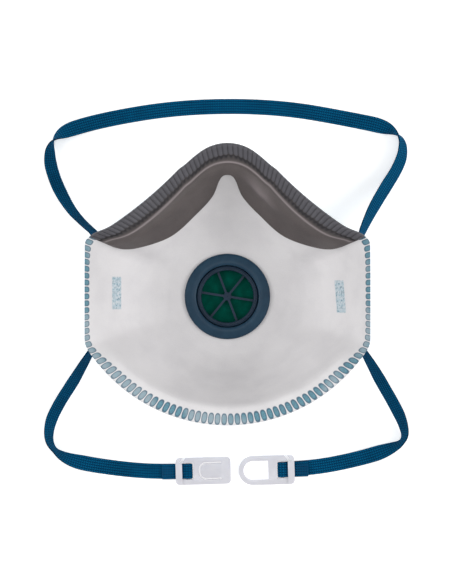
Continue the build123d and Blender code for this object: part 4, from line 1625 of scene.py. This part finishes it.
# ----------------------------------------------------------------------------------------------
# Valve
# ----------------------------------------------------------------------------------------------
@dataclass
class Valve:
    """Inner ring, spoked seat, disc and slotted cover of the exhalation valve."""

    ring_outer: float = 21.0 * MM
    ring_inner: float = 15.25 * MM
    tube: float = 15.0 * MM
    bore: float = 12.8 * MM
    seat_flange: float = 20.0 * MM
    hub: float = 2.1 * MM
    stud: float = 0.9 * MM
    stud_head: float = 1.7 * MM
    stud_steps: int = 48
    axis_gap: float = 0.05 * MM
    hatch: int = 132
    hatch_size: Point = (1.0 * MM, 0.28 * MM, 0.3 * MM)
    spokes: int = 6
    spoke_width: float = 1.1 * MM
    spoke_depth: float = 1.6 * MM
    first_spoke: float = -9.0
    cap_edge: float = 0.25 * MM
    disc_edge: float = 0.1 * MM

    def ring(self) -> None:
        """Domed flange against the lining."""
        low, high = (corner.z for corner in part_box("valve_inner_ring"))
        rise = high - low
        crown = self.ring_outer - 3.6 * MM
        profile = [
            (self.ring_inner, low), (self.ring_outer - 0.1 * MM, low), (self.ring_outer, low + 0.42 * rise),
            (self.ring_outer - 0.9 * MM, low + 0.74 * rise), (crown, high - 0.02 * MM),
            (self.ring_inner + 1.0 * MM, high), (self.ring_inner, high - 0.5 * MM),
        ]
        piece = lathe("valve_flange_ring", rounded(profile, 0.7 * MM), FORM.valve_y)
        finish_piece(piece, "cup", ["valve_inner_ring"], FLANGE.material())

    def seat(self) -> None:
        """Tube with a hatched ledge, spokes, hub and stud, all in one moulding."""
        low, high = (corner.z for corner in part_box("valve_seat"))
        flange_top = FORM.land_height - 0.05 * MM
        flange_base = flange_top - 1.5 * MM
        face, sill, ledge = flange_base - 0.8 * MM, self.bore + 1.5 * MM, high - 0.35 * MM
        profile = [
            (self.bore, face), (sill, face), (sill, flange_base), (self.seat_flange, flange_base),
            (self.seat_flange, flange_top), (self.tube, flange_top), (self.tube, ledge),
            (self.tube - 0.4 * MM, high), (self.tube - 0.7 * MM, high), (self.tube - 0.8 * MM, ledge),
            (self.bore + 0.3 * MM, ledge), (self.bore, high - 0.7 * MM),
        ]
        look = BODY.material()
        tube = lathe("valve_seat_body", rounded(profile, 0.18 * MM, 3), FORM.valve_y)
        dress(tube, look)
        ribs = ring_of_bars(
            "seat_hatching", self.hatch, self.bore + 0.85 * MM, self.hatch_size,
            (0.0, FORM.valve_y, high - 0.28 * MM), look,
        )
        length = self.bore + 0.5 * MM
        spokes = ring_of_bars(
            "valve_spokes", self.spokes, length / 2, (length, self.spoke_width, self.spoke_depth),
            (0.0, FORM.valve_y, flange_base + self.spoke_depth / 2), BODY.material(), self.first_spoke, 8,
        )
        hub_top, stud_top = flange_base + self.spoke_depth, flange_base + 0.2 * MM
        hub_profile = [
            (self.axis_gap, flange_base), (self.hub, flange_base), (self.hub, hub_top),
            (self.stud, hub_top + 0.15 * MM), (self.axis_gap, hub_top + 0.2 * MM),
        ]
        hub = lathe("valve_hub", rounded(hub_profile, 0.3 * MM), FORM.valve_y, self.stud_steps)
        stud_profile = [
            (self.axis_gap, low), (self.stud_head, low), (self.stud_head, low + 0.6 * MM),
            (self.stud, low + 0.6 * MM), (self.stud, stud_top), (self.axis_gap, stud_top),
        ]
        stud = lathe("valve_stud", rounded(stud_profile, 0.15 * MM), FORM.valve_y, self.stud_steps)
        for node_piece in (tube, ribs, spokes, hub, stud):
            finish_piece(node_piece, "cup", ["valve_seat"], look)

    def build(self) -> None:
        """Makes the four pieces."""
        self.ring()
        self.seat()
        cap = softened_copy("valve_cover", "valve_cap", self.cap_edge)
        finish_piece(cap, "cup", ["valve_cover"], FLANGE.material())
        disc = softened_copy("valve_diaphragm", "valve_disc", self.disc_edge)
        finish_piece(disc, "diaphragm", ["valve_diaphragm"], DISC.material())


# ----------------------------------------------------------------------------------------------
# Everything
# ----------------------------------------------------------------------------------------------
def main() -> None:
    """Builds everything in order."""
    logging.basicConfig(level=logging.INFO, format="%(message)s")
    Studio().build()
    Harness().build()
    Cup().build()
    NoseSeal().build()
    Valve().build()
    bpy.context.view_layer.update()


if __name__ == "__main__":
    main()
